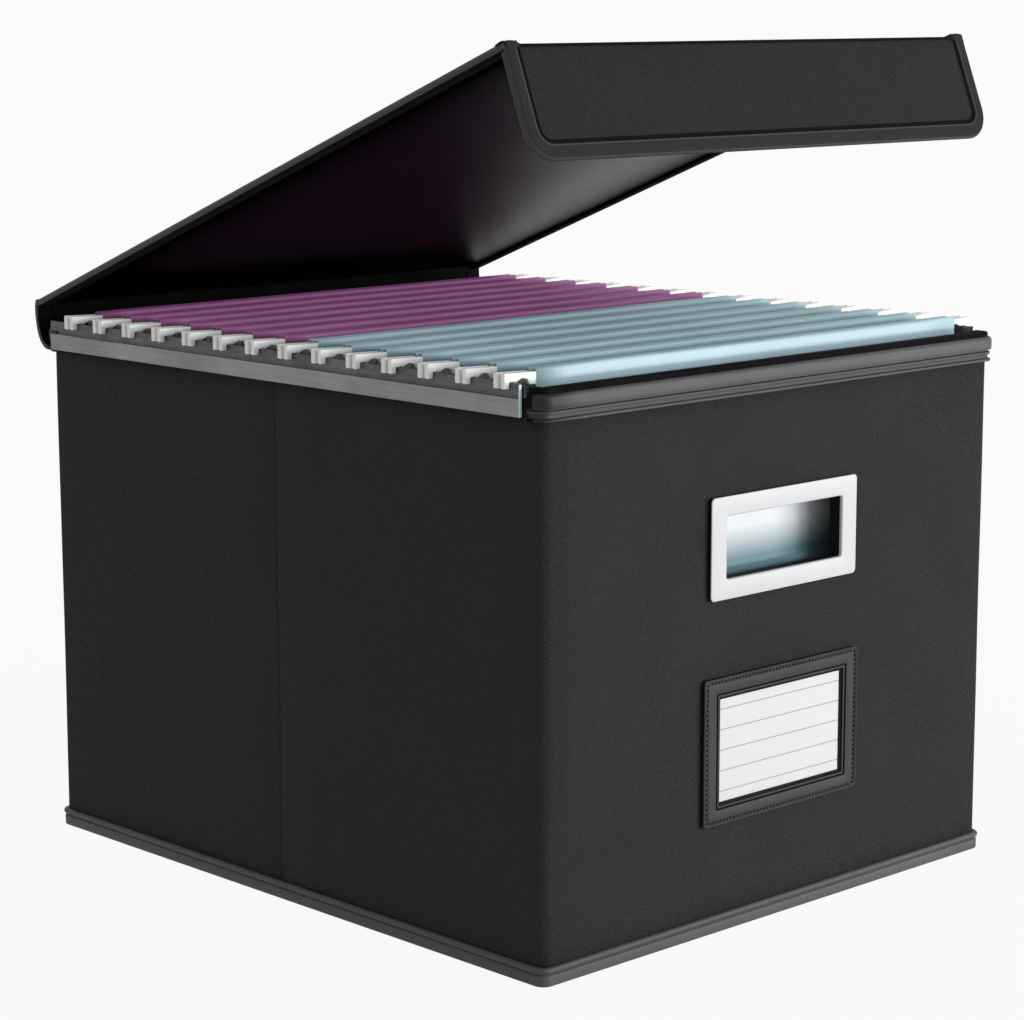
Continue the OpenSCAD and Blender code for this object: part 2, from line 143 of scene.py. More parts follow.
def noiseOf(tree, where, size, detail):
    # patches of a size in millimetres
    settings = {"Scale": 1000 / size, "Detail": detail}
    return addNode(tree, "ShaderNodeTexNoise", settings, {"Vector": where}).outputs["Fac"]


def rampOf(tree, share, stops):
    # a run of colours, (place from 0 to 1, colour) in rising order
    ramp = addNode(tree, "ShaderNodeValToRGB", links={"Fac": share})
    marks = ramp.color_ramp.elements
    for _ in stops[2:]:
        marks.new(0.5)
    for mark, (place, _) in zip(marks, stops):
        mark.position = place
    for mark, (_, hexText) in zip(marks, stops):
        mark.color = linear(hexText)
    return ramp.outputs["Color"]


def newFinish(name, look):
    # shine is the specular level, other values of the shader come by their own names
    finish = bpy.data.materials.new(name)
    finish.use_nodes = True
    tree = finish.node_tree
    shader = tree.nodes["Principled BSDF"]
    for socket, value in {"Specular IOR Level": look.get("shine", 0.5), **look.get("shader", {})}.items():
        shader.inputs[socket].default_value = value
    where = addNode(tree, "ShaderNodeTexCoord").outputs["Object"]
    return finish, tree, shader, where


def addSurface(tree, shader, colour, height, relief, depth):
    tree.links.new(colour, shader.inputs["Base Color"])
    bump = addNode(tree, "ShaderNodeBump", {"Strength": relief, "Distance": depth}, {"Height": height})
    tree.links.new(bump.outputs["Normal"], shader.inputs["Normal"])


def wovenFinish(name, look):
    # twill: ribs one float wide run up to the right, cut into short dashes by the rows of yarn
    finish, tree, shader, where = newFinish(name, look)
    shader.inputs["Roughness"].default_value = look["rough"]
    across, up = Vector(look["across"]), Vector(look["up"])
    yarn = look["yarn"] * 0.001
    waves = []
    for direction in ((across - up) / (look["float"] * yarn), up / yarn):
        phase = addNode(tree, "ShaderNodeVectorMath", {"operation": "DOT_PRODUCT", 1: direction}, {0: where})
        wave = calc(tree, "SINE", calc(tree, "MULTIPLY", phase.outputs["Value"], 2 * math.pi))
        waves.append(calc(tree, "MULTIPLY_ADD", wave, 0.5, 0.5))
    dash = calc(tree, "MULTIPLY_ADD", waves[1], look["dash"], 1 - look["dash"])
    height = calc(tree, "MULTIPLY", waves[0], dash)
    slub = noiseOf(tree, where, look["slub"], 3.0)
    cloud = noiseOf(tree, where, look["cloud"], 2.0)
    uneven = calc(tree, "MULTIPLY_ADD", slub, look["slubShare"], height)
    shade = calc(tree, "MULTIPLY_ADD", cloud, look["cloudShare"], uneven)
    tone = calc(tree, "DIVIDE", shade, 1 + look["slubShare"] + look["cloudShare"])
    if "fold" in look:
        # painted highlight: the ribs get more contrast on the front face, and most near its left front edge,
        # standing in for light catching them
        fold = look["fold"]
        near = remap(tree, axisOf(tree, where, "X"), metres(fold["x"]), fold["ribHighlight"])
        front = calc(tree, "LESS_THAN", axisOf(tree, where, "Y"), fold["front"] * 0.001)
        ribHighlight = calc(tree, "MULTIPLY_ADD", near, front, 1.0)
        tone = calc(tree, "MULTIPLY_ADD", calc(tree, "SUBTRACT", tone, 0.5), ribHighlight, 0.5)
    colour = rampOf(tree, tone, [(0.15, look["dark"]), (0.85, look["light"])])
    if "corner" in look:
        # painted shade: the tape is darkened where it turns round the left front edge
        corner = look["corner"]
        share = remap(tree, axisOf(tree, where, "X"), metres(corner["x"]), corner["share"], True)
        dimmed = addNode(tree, "ShaderNodeVectorMath", {"operation": "SCALE"}, {0: colour, "Scale": share})
        colour = dimmed.outputs[0]
    addSurface(tree, shader, colour, uneven, look["relief"], 0.0004)
    return finish


def grainFinish(name, look):
    # mottled or streaked grain: size in millimetres, stretch lengthens it along an axis
    finish, tree, shader, where = newFinish(name, look)
    scale = [1 / s for s in look.get("stretch", (1, 1, 1))]
    placed = addNode(tree, "ShaderNodeMapping", {"Scale": scale}, {"Vector": where}).outputs[0]
    grain = noiseOf(tree, placed, look["size"], 3.0)
    cloud = noiseOf(tree, where, look["cloud"], 2.0)
    blend = calc(tree, "MULTIPLY_ADD", cloud, 0.6, calc(tree, "MULTIPLY", grain, 0.4))
    colour = rampOf(tree, blend, [(0.3, look["dark"]), (0.7, look["light"])])
    if "lightShadeBands" in look:
        # painted light and shade by height: (millimetres, colour) from the bottom up
        low, high = look["lightShadeBands"][0][0], look["lightShadeBands"][-1][0]
        share = remap(tree, axisOf(tree, where, "Z"), metres((low, high)), (0, 1))
        paintedTone = rampOf(tree, share, [((z - low) / (high - low), hexText) for z, hexText in look["lightShadeBands"]])
        toned = addNode(tree, "ShaderNodeVectorMath", {"operation": "MULTIPLY"}, {0: colour, 1: paintedTone})
        colour = toned.outputs[0]
    tree.links.new(remap(tree, grain, (0, 1), look["rough"]), shader.inputs["Roughness"])
    addSurface(tree, shader, colour, grain, look["relief"], 0.0002)
    if "mattEdge" in look:
        # the film is matt where it is glued down along the two side edges
        aside = calc(tree, "ABSOLUTE", axisOf(tree, where, "X"))
        gloss = remap(tree, aside, metres(look["mattEdge"]), (look["shine"], 0.0), True)
        tree.links.new(gloss, shader.inputs["Specular IOR Level"])
    return finish


# Solution-dyed polyester twill: matt, with diagonal ribs raised by the coarse filling yarn
twill = {"across": (1, 0, 0), "up": (0, 0, 1), "yarn": 0.6, "float": 3, "dash": 0.5, "slub": 1.4,
         "slubShare": 1.1, "cloud": 45, "cloudShare": 0.3, "dark": "#1a1a1a", "light": "#3b3b3b",
         "rough": 0.85, "shine": 0.15, "relief": 1.0}
# the fold entry paints highlight on the ribs of the front face, strongest near its left front edge
wallTwill = wovenFinish("polyesterTwillWalls", {
    **twill, "across": (1, -1, 0),
    "fold": {"x": (6 - wallX, 20 - wallX), "ribHighlight": (3.0, 0.6), "front": 1 - wallY}})
lidTwill = wovenFinish("polyesterTwillLid", {**twill, "up": lidDepth})
flapTwill = wovenFinish("polyesterTwillFlap", {
    **twill, "up": lidHeight, "yarn": 0.5, "slubShare": 1.5, "dark": "#0e0e0f", "light": "#323234",
    "relief": 0.6})
hingeCloth = wovenFinish("twillHingeStrip", {**twill, "dark": "#09090a", "light": "#343436"})

# Grosgrain binding tape with a calendered face: nearly smooth, with a faint sheen
tape = {"across": (1, -1, 0), "up": (0, 0, 1), "yarn": 0.6, "float": 2, "dash": 0.3, "slub": 2.0,
        "slubShare": 0.6, "cloud": 30, "cloudShare": 0.6, "dark": "#363638", "light": "#515154",
        "rough": 0.55, "shine": 0.3, "relief": 0.15}
baseTapeFinish = wovenFinish("grosgrainTapeBase", tape)
# the rim tape has painted shade where it turns round the left front edge
rimTape = wovenFinish("grosgrainTapeRim", {
    **tape, "corner": {"x": (1 - wallX, 26 - wallX), "share": (0.1, 1.0)}})
# a darker tape for the rim's piped band, painted shade in its valleys and on its ridge
rimPipingShade = wovenFinish("grosgrainTapePipingPaintedShade", {**tape, "dark": "#232325", "light": "#3c3c3f"})
lidTape = wovenFinish("grosgrainTapeLid", {
    **tape, "across": (0, 1, 0), "up": (1, 0, 0), "dark": "#242426", "light": "#434346"})
frontTape = {**tape, "across": (1, 0, 0), "up": lidHeight}
flapPaintedHighlight = wovenFinish("grosgrainTapeFlapPaintedHighlight", {**frontTape, "dark": "#202022", "light": "#363639"})
flapTape = wovenFinish("grosgrainTapeFlap", {
    **frontTape, "dark": "#141415", "light": "#29292b", "rough": 0.75, "shine": 0.15})

# Matt near-black cloth, used as painted shade: the rim tape's top, inner face and tails, the lid tapes'
# undersides, the flap tape's groove, the fold over the lid's front edge and the hinge cloth's inner side
paintedShadeBlack = grainFinish("blackEdgingPaintedShade", {
    "size": 0.8, "cloud": 20, "dark": "#050506", "light": "#0e0e10", "rough": (0.85, 0.95), "shine": 0.08,
    "relief": 0.3})
# Calendered black PVC film on the lid's underside: dark, with a soft broad gloss
liningFilm = grainFinish("calenderedPvcLining", {
    "size": 1.5, "cloud": 50, "dark": "#010101", "light": "#030303", "rough": (0.32, 0.4), "shine": 0.18,
    "relief": 0.15, "mattEdge": (86, 148)})
# Extruded ABS rail: satin grey with faint draw lines along its length
railAbs = grainFinish("extrudedAbsRail", {
    "size": 0.9, "cloud": 35, "stretch": (1, 40, 1), "dark": "#7d7e80", "light": "#a2a3a5",
    "rough": (0.38, 0.52), "relief": 0.1})
# The rail's upper lip and groove in a darker grey, painted shade under the hooks
railLipShade = grainFinish("absRailLipPaintedShade", {
    "size": 1.1, "cloud": 12, "stretch": (1, 6, 1), "dark": "#3c3c3e", "light": "#6e6e71",
    "rough": (0.38, 0.52), "shine": 0.4, "relief": 0.2})
# Satin silver lacquer on moulded ABS: pale, evenly bright
silverLacquer = grainFinish("satinSilverLacquer", {
    "size": 0.4, "cloud": 40, "stretch": (30, 1, 1), "dark": "#b9b9bb", "light": "#c4c4c6",
    "rough": (0.4, 0.5), "shine": 0.4, "relief": 0.05})
# Matt black rubber, used as painted shade: the hand hole gaskets and hole linings, the label frame's groove,
# inner bevel and the ring under it, and the rails' front ends
paintedShadeRubber = grainFinish("blackRubberPaintedShade", {
    "size": 0.8, "cloud": 20, "dark": "#060607", "light": "#0c0c0d", "rough": (0.7, 0.85), "shine": 0.15,
    "relief": 0.2})
# Embossed PU leatherette: fine pebble grain, soft shine on the ridges
leatherette = grainFinish("embossedPuLeatherette", {
    "size": 0.7, "cloud": 25, "dark": "#1e1e20", "light": "#2c2c2f", "rough": (0.5, 0.65), "shine": 0.25,
    "relief": 0.35})
# Pressed polypropylene plate behind the hand holes
platePlastic = grainFinish("pressedPolypropylene", {
    "size": 0.9, "cloud": 30, "dark": "#55565a", "light": "#6a6b6e", "rough": (0.45, 0.6), "shine": 0.4,
    "relief": 0.1})
# Dyed kraft card: soft fibre mottling, matt
sleeveTop = corners("folder_01")[1].z
holeLow, holeHigh = corners("front_handle_plate")
holeMiddle = (holeLow.z + holeHigh.z) / 2
card = {"size": 0.5, "cloud": 70, "stretch": (6, 1, 1), "dark": "#e6e6e6", "light": "#ffffff",
        "rough": (0.4, 0.55), "relief": 0.1}
# darker 4 to 10 mm below the folders' tops as painted shade between them, with a painted highlight at the
# very top
cardBlue = grainFinish("dyedKraftCardBlue", {**card, "lightShadeBands": [
    (sleeveTop - 25, "#b4d6e2"), (sleeveTop - 10, "#6f98a6"), (sleeveTop - 4, "#6f98a6"),
    (sleeveTop - 1, "#bfdee9")]})
cardPurple = grainFinish("dyedKraftCardPurple", {**card, "lightShadeBands": [
    (sleeveTop - 25, "#b860a8"), (sleeveTop - 10, "#6c2c60"), (sleeveTop - 4, "#6c2c60"),
    (sleeveTop - 1, "#b869aa")]})
# The front folder's card, with painted light where light comes in by the hand hole and painted shade below it
cardPaintedLight = grainFinish("dyedKraftCardPaintedLight", {**card, "lightShadeBands": [
    (holeMiddle - 30, "#b4d6e2"), (holeMiddle - 12, "#547e8a"), (holeMiddle + 4, "#dfe5e8"),
    (sleeveTop - 30, "#dfe5e8"), (sleeveTop - 12, "#a9c6d1"), (sleeveTop - 1, "#b1cfd9")]})
# Injection-moulded nylon hooks: milky white with a soft shine
hookNylon = grainFinish("mouldedNylonHook", {
    "size": 1.2, "cloud": 12, "dark": "#f0f0ee", "light": "#f8f8f6", "rough": (0.25, 0.4), "relief": 0.08,
    "shader": {"Subsurface Weight": 0.45, "Subsurface Scale": 0.003}})
# Cold-rolled steel strip
stripSteel = grainFinish("coldRolledSteelStrip", {
    "size": 0.5, "cloud": 20, "stretch": (30, 1, 1), "dark": "#8e9093", "light": "#b4b6b8",
    "rough": (0.3, 0.42), "relief": 0.1, "shader": {"Metallic": 1.0}})
# Bonded polyester thread, black
thread = grainFinish("bondedPolyesterThread", {
    "size": 0.3, "cloud": 8, "dark": "#070708", "light": "#101012", "rough": (0.75, 0.9), "shine": 0.1,
    "relief": 0.2})
# Greyboard under black lining paper, seen inside the box
linedBoard = grainFinish("paperLinedGreyboard", {
    "size": 0.8, "cloud": 40, "dark": "#161618", "light": "#242427", "rough": (0.75, 0.9), "shine": 0.2,
    "relief": 0.2})
# Bare greyboard of the base, pressed from recycled fibre
greyBoard = grainFinish("pressedGreyboard", {
    "size": 0.6, "cloud": 30, "dark": "#5e5246", "light": "#796b5b", "rough": (0.85, 0.95), "shine": 0.15,
    "relief": 0.3})
# Spunbonded polypropylene under the base: fine random fibre
baseFelt = grainFinish("spunbondedPolypropylene", {
    "size": 0.5, "cloud": 30, "dark": "#161617", "light": "#2b2b2d", "rough": (0.8, 0.95), "shine": 0.15,
    "relief": 0.4})


def ruledCard(name, look):
    # bleached card with a few pale ruled lines and nothing written on it
    finish, tree, shader, where = newFinish(name, look)
    shader.inputs["Roughness"].default_value = look["rough"]
    pitch = look["pitch"]
    phase = calc(tree, "MULTIPLY_ADD", axisOf(tree, where, "Z"), 1000 / pitch, -look["first"] / pitch)
    line = calc(tree, "LESS_THAN", calc(tree, "FRACT", phase), look["line"] / pitch)
    fibre = noiseOf(tree, where, look["fibre"], 3.0)
    paper = addNode(tree, "ShaderNodeMix", {
        "data_type": "RGBA", 6: linear(look["dark"]), 7: linear(look["light"])}, {0: fibre})
    drawn = addNode(tree, "ShaderNodeMix", {"data_type": "RGBA", 7: linear(look["ink"])},
                    {0: line, 6: paper.outputs[2]})
    addSurface(tree, shader, drawn.outputs[2], fibre, 0.1, 0.0001)
    return finish


cardLow, cardHigh = corners("label_card")
bleachedCard = ruledCard("bleachedCardRuled", {
    "pitch": 10, "first": (cardLow.z + cardHigh.z) / 2 - 0.3, "line": 0.6, "fibre": 5 / 6, "dark": "#c5c5c5",
    "light": "#d0d0d0", "ink": "#949fab", "rough": 0.55, "shine": 0.3})
print("materials ready")


# Shaping helpers

def arc(x, y, radius, start, end, steps):
    # points of a section's round stretch, angles in degrees
    turns = [math.radians(start + (end - start) * i / steps) for i in range(steps + 1)]
    return [(x + radius * math.cos(t), y + radius * math.sin(t)) for t in turns]


def acrossY(side, x, y, z):
    # stands a section's (outwards, up) across the Y axis, outwards being left where side is -1
    return Matrix(((side, 0, 0, x), (0, 0, 0, y), (0, 1, 0, z), (0, 0, 0, 1)))


def acrossX(x, y, z):
    # the same across the X axis, outwards being towards the back
    return Matrix(((0, 0, 0, x), (1, 0, 0, y), (0, 1, 0, z), (0, 0, 0, 1)))


def drawSection(bm, points, place, closed=True):
    made = [bm.verts.new(place @ Vector((x, y, 0))) for x, y in points]
    pairs = list(zip(made, made[1:]))
    if closed:
        pairs.append((made[-1], made[0]))
    return [bm.edges.new(p) for p in pairs]


def pull(bm, edges, move, steps=1):
    for _ in range(steps):
        made = bmesh.ops.extrude_edge_only(bm, edges=edges)["geom"]
        bmesh.ops.translate(bm, verts=[g for g in made if isinstance(g, bmesh.types.BMVert)],
                            vec=Vector(move) / steps)
        edges = [g for g in made if isinstance(g, bmesh.types.BMEdge)]
    return edges


def turn(bm, edges, centre, degrees):
    ends = list({v for e in edges for v in e.verts})
    made = bmesh.ops.spin(bm, geom=edges + ends, cent=centre, axis=(0, 0, 1), angle=math.radians(degrees),
                          steps=8)
    return [g for g in made["geom_last"] if isinstance(g, bmesh.types.BMEdge)]


def roundLoop(bm, halfX, halfY, radius, height, steps=6):
    # a rounded rectangle, drawn as a circle whose quarters are moved apart
    half = math.pi / (4 * steps)
    made = bmesh.ops.create_circle(bm, segments=4 * steps, radius=radius / math.cos(half),
                                   matrix=Matrix.Rotation(half, 4, "Z"))["verts"]
    for v in made:
        v.co.x += math.copysign(halfX - radius, v.co.x)
        v.co.y += math.copysign(halfY - radius, v.co.y)
        v.co.z = height
    return made


def skinLoops(bm, loops, closed=False, inks=None):
    # faces between loops of equal count, each pair with its own material where inks are given
    pairs = list(zip(loops, loops[1:]))
    if closed:
        pairs.append((loops[-1], loops[0]))
    for place, (a, b) in enumerate(pairs):
        for i in range(len(a)):
            face = bm.faces.new((a[i - 1], a[i], b[i], b[i - 1]))
            face.material_index = inks[place] if inks else 0


def ringMesh(rings, closed=True, steps=6):
    # rings are (half width, half height, radius, distance off the wall)
    bm = bmesh.new()
    skinLoops(bm, [roundLoop(bm, *ring, steps) for ring in rings], closed)
    return bm


def bevelEdges(bm, edges, width, steps=2, clamp=False):
    bmesh.ops.bevel(bm, geom=edges, offset=width, segments=steps, profile=0.5, affect="EDGES", material=-1,
                    clamp_overlap=clamp)


def addBox(bm, middle, size):
    place = Matrix.Translation(middle) @ Matrix.Diagonal((*size, 1))
    return bmesh.ops.create_cube(bm, size=1, matrix=place)["verts"]


def capEnds(bm):
    bmesh.ops.holes_fill(bm, edges=[e for e in bm.edges if e.is_boundary])


def cutAt(bm, axis, places):
    for place in places:
        everything = bm.verts[:] + bm.edges[:] + bm.faces[:]
        at, normal = [0, 0, 0], [0, 0, 0]
        at[axis], normal[axis] = place, 1
        bmesh.ops.bisect_plane(bm, geom=everything, dist=0.001, plane_co=at, plane_no=normal)


def spaced(low, high, step):
    count = max(1, round((high - low) / step))
    return [low + (high - low) * i / count for i in range(1, count)]


def ripple(bm, amount, size, seed, along=None):
    # slow unevenness of cloth stretched over board
    bm.normal_update()
    moves = []
    for v in bm.verts:
        away = Vector(along) if along else v.normal
        moves.append((v, away * amount * noise.noise(v.co / size + Vector((seed, seed, seed)))))
    for v, move in moves:
        v.co += move


def finishPiece(name, bm, finish, body, replaces=(), place=toMetres, sharp=40, keepNormals=False):
    bmesh.ops.remove_doubles(bm, verts=bm.verts, dist=0.0005)
    if not keepNormals:
        bmesh.ops.recalc_face_normals(bm, faces=bm.faces)
    bmesh.ops.transform(bm, matrix=place, verts=bm.verts)
    mesh = bpy.data.meshes.new(name)
    bm.to_mesh(mesh)
    bm.free()
    mesh.polygons.foreach_set("use_smooth", [True] * len(mesh.polygons))
    mesh.set_sharp_from_angle(angle=math.radians(sharp))
    for material in finish if isinstance(finish, list) else [finish]:
        mesh.materials.append(material)
    piece = bpy.data.objects.new(name, mesh)
    scene.collection.objects.link(piece)
    if body:
        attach(piece, body)
    if replaces:
        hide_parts(*replaces)
    return piece


def soften(piece):
    smooth = piece.modifiers.new("soft", "SUBSURF")
    smooth.levels = smooth.render_levels = 1


def thicken(piece, thickness, offset, innerSlot=0):
    wall = piece.modifiers.new("thickness", "SOLIDIFY")
    wall.thickness = thickness * 0.001
    wall.offset = offset
    wall.use_even_offset = True
    wall.material_offset = innerSlot
    return piece


# Cloth skin of the four walls
skin = {"thickness": 1.0, "crease": 0.6, "creaseWidth": 1.3, "unevenness": 0.35, "patch": 70,
        "overPlate": 7.0, "underFrame": 8.0, "flatFrom": -60, "flatRound": 20}


def buildWallSkin():
    bm = bmesh.new()
    top = corners("left_front_board")[1].z
    loops = [roundLoop(bm, wallX, wallY, 6.0, z, 8) for z in (wallLow.z, top)]
    skinLoops(bm, loops)
    holeLow, holeHigh = corners("front_handle")
    holeX = corners("front_handle_plate")[1].x - skin["overPlate"]
    bottom, ceiling = holeLow.z + skin["underFrame"], holeHigh.z - skin["underFrame"]
    wide = skin["creaseWidth"]
    cutAt(bm, 0, [-holeX, holeX] + spaced(-wallX, wallX, 20))
    cutAt(bm, 2, [bottom, ceiling] + spaced(wallLow.z, top, 20))
    cutAt(bm, 1, [-wide, 0, wide] + spaced(-wallY, -6, 20) + spaced(6, wallY, 20))
    hole = []
    for f in bm.faces:
        middle = f.calc_center_median()
        if abs(middle.x) < holeX and bottom < middle.z < ceiling:
            hole.append(f)
    bmesh.ops.delete(bm, geom=hole, context="FACES")
    for v in bm.verts:
        if abs(v.co.y) < 0.01:
            v.co.x -= math.copysign(skin["crease"], v.co.x)
    bmesh.ops.recalc_face_normals(bm, faces=bm.faces)
    ripple(bm, skin["unevenness"], skin["patch"], 3.7)
    # the front lies flat where the label card slides
    flat = skin["flatRound"]
    for v in bm.verts:
        if v.co.x > skin["flatFrom"] and cardLow.z - flat < v.co.z < cardHigh.z + flat:
            v.co.y = max(v.co.y, -wallY)
    piece = finishPiece("wallSkin", bm, wallTwill, "box", ["outer_cover"])
    return thicken(piece, skin["thickness"], -1)


buildWallSkin()


# Tape round the base: a flat strip, a groove and a piped edge
base = {"radius": 4.2, "out": 1.5, "strip": 5.4, "soft": 0.7, "bead": 1.5, "height": 9.0}


def buildBaseTape():
    bm = bmesh.new()
    out, soft = base["out"], base["soft"]
    height, bead = base["height"], base["bead"]
    section = [(-0.3, 0.0)] + arc(out - soft, soft, soft, -90, 0, 3)
    section += arc(out - soft, base["strip"] - soft, soft, 0, 80, 3)
    section += arc(0.6, height - bead, bead, -75, 115, 10) + [(-0.3, height - 0.2)]
    loops = [roundLoop(bm, wallX + u, wallY + u, base["radius"] + u, w, 8) for u, w in section]
    skinLoops(bm, loops, closed=True)
    return finishPiece("baseTape", bm, baseTapeFinish, "box", ["base_binding"], sharp=60)


buildBaseTape()


# Tape wrapped over the front and back walls' top edges
rim = {"radius": 4.2, "bead": 0.75, "valley": 0.7, "band": 1.75, "out": 2.6, "round": 2.0, "inner": 2.4,
       "paintedShadeTop": 2.4, "pipingLow": 1.55, "pipingHigh": 5.75}


def buildRimTape(name, node, back):
    low, high = corners(node)
    height = high.z - low.z
    tail = max(abs(low.y), abs(high.y)) - (high.y - low.y)
    top = height - 3.0
    grey = height - rim["paintedShadeTop"]
    section = [(-0.3, 0.3)] + arc(1.5, rim["bead"], rim["bead"], -100, 80, 8)
    valley, band = rim["valley"], rim["band"]
    section += [(valley, 1.7), (valley, 3.3), (band, 3.7), (band, 4.8), (valley, 5.2), (valley, 5.7)]
    section += [(2.2, 5.9), (2.5, 6.4), (rim["out"], 8.0)]
    section += arc(rim["out"] - rim["round"], grey - rim["round"], rim["round"], 0, 80, 6)
    section += [(0.55, grey + 0.1)] + arc(-0.35, height - 0.9, 0.9, 0, 90, 4)
    section += [(-4.0, height), (-4.0, top), (-0.3, top)]
    bm = bmesh.new()
    edgeX, edgeY = wallX - rim["radius"], wallY - rim["radius"]
    run = drawSection(bm, section, acrossY(-1, -wallX, -tail, low.z))
    run = pull(bm, run, (0, tail - edgeY, 0))
    run = turn(bm, run, (-edgeX, -edgeY, 0), 90)
    run = pull(bm, run, (2 * edgeX, 0, 0), 16)
    run = turn(bm, run, (edgeX, -edgeY, 0), 90)
    pull(bm, run, (0, edgeY - tail, 0))
    capEnds(bm)
    leg = acrossX(-edgeX, 4.0 - wallY, low.z)
    thick = rim["inner"]
    inner = [(-0.2, 0.2), (thick - 0.5, 0.0), (thick, 0.5), (thick, height - 1.3)]
    inner += arc(thick - 1.3, height - 1.3, 1.3, 0, 90, 4) + [(-0.2, height)]
    pull(bm, drawSection(bm, inner, leg), (2 * edgeX, 0, 0), 16)
    capEnds(bm)
    # the piped band takes the darker tape as painted shade; the top lip, the inner face and the front rim's
    # tails along the sides are black as painted shade
    for f in bm.faces:
        middle = f.calc_center_median()
        up = middle.z - low.z
        away = max(abs(middle.x) - wallX, -wallY - middle.y)
        if rim["pipingLow"] < up < rim["pipingHigh"]:
            f.material_index = 1
        elif up > grey or away < -0.3 or (middle.y > -edgeY and not back):
            f.material_index = 2
    if back:
        bmesh.ops.scale(bm, vec=(1, -1, 1), verts=bm.verts)
    finishes = [rimTape, rimPipingShade, paintedShadeBlack]
    return finishPiece(name, bm, finishes, "box", [node], sharp=50)


buildRimTape("frontRimTape", "front_rim_binding", False)
buildRimTape("backRimTape", "back_rim_binding", True)
print("box cloth built")


# Rails: an extruded profile that grips the side wall, with a standing lip and a groove
railShape = {"edge": 0.35, "grooveLow": 8.3, "grooveWide": 1.7, "grooveDeep": 1.1, "grip": 1.6, "web": 1.6,
             "front": 2.0, "back": 181.6, "capThick": 0.6, "capProud": 0.25, "capWide": 1.5}


def buildRail(name, node, side):
    low, high = corners(node)
    inner, outer = min(abs(low.x), abs(high.x)), max(abs(low.x), abs(high.x))
    lip = wallX + 0.05
    web = corners("left_front_board")[1].z + 0.05
    e, grip, ledge = railShape["edge"], inner + railShape["grip"], web + railShape["web"]
    grooveLow = low.z + railShape["grooveLow"]
    grooveHigh, deep = grooveLow + railShape["grooveWide"], outer - railShape["grooveDeep"]
    outline = [(inner, low.z), (grip, low.z), (grip, web), (lip, web), (lip, low.z + e), (lip + e, low.z),
               (outer - e, low.z), (outer, low.z + e), (outer, grooveLow - 0.2), (outer - 0.2, grooveLow),
               (deep, grooveLow + 0.2), (deep, grooveHigh - 0.2), (outer - 0.45, grooveHigh),
               (outer - 0.25, grooveHigh + 0.3), (outer - 0.25, high.z - 0.8), (outer - 0.5, high.z - 0.25),
               (outer - 0.9, high.z), (lip + 0.8, high.z), (lip + 0.25, high.z - 0.25), (lip, high.z - 0.8),
               (lip, ledge), (inner + e, ledge), (inner, ledge - e)]
    start = low.y + railShape["front"]
    bm = bmesh.new()
    pull(bm, drawSection(bm, outline, acrossY(side, 0, start, 0)), (0, railShape["back"] - start, 0), 12)
    capEnds(bm)
    # the lip and groove take the darker grey as painted shade; the front end is black as painted shade in the
    # gap before the rim tape
    for f in bm.faces:
        middle = f.calc_center_median()
        if grooveLow - 0.1 < middle.z and abs(middle.x) > lip:
            f.material_index = 1
        if middle.y < start + 0.01:
            f.material_index = 3
    thin = (railShape["capWide"], railShape["capThick"], high.z - low.z - 0.6)
    across = side * (outer + railShape["capProud"] - thin[0] / 2)
    cap = addBox(bm, (across, start, (low.z + high.z) / 2), thin)
    faces = {f for v in cap for f in v.link_faces}
    for f in faces:
        f.material_index = 2
    bevelEdges(bm, list({e for f in faces for e in f.edges}), 0.2)
    finishes = [railAbs, railLipShade, hookNylon, paintedShadeRubber]
    return finishPiece(name, bm, finishes, "box", [node], sharp=30)


buildRail("leftRail", "left_rail", -1)
buildRail("rightRail", "right_rail", 1)


# Hand hole frames: a thin lacquered face on a black gasket that also lines the hole through the wall, the
# gasket and lining being painted shade round the face and inside the hole
bezel = {"face": 0.7, "edge": 0.4, "radius": 2.4, "lip": 1.2, "insidePlate": 7.3, "windowRadius": 1.4,
         "shadowGasketIn": 0.12, "deep": 1.6}


def facePlace(z, back):
    # stands a flat drawing on the front or back wall, its height pointing away from the wall
    stand = Matrix.Translation((0, -wallY, z)) @ Matrix.Rotation(math.radians(90), 4, "X")
    if back:
        stand = Matrix.Scale(-1, 4, (0, 1, 0)) @ stand
    return toMetres @ stand


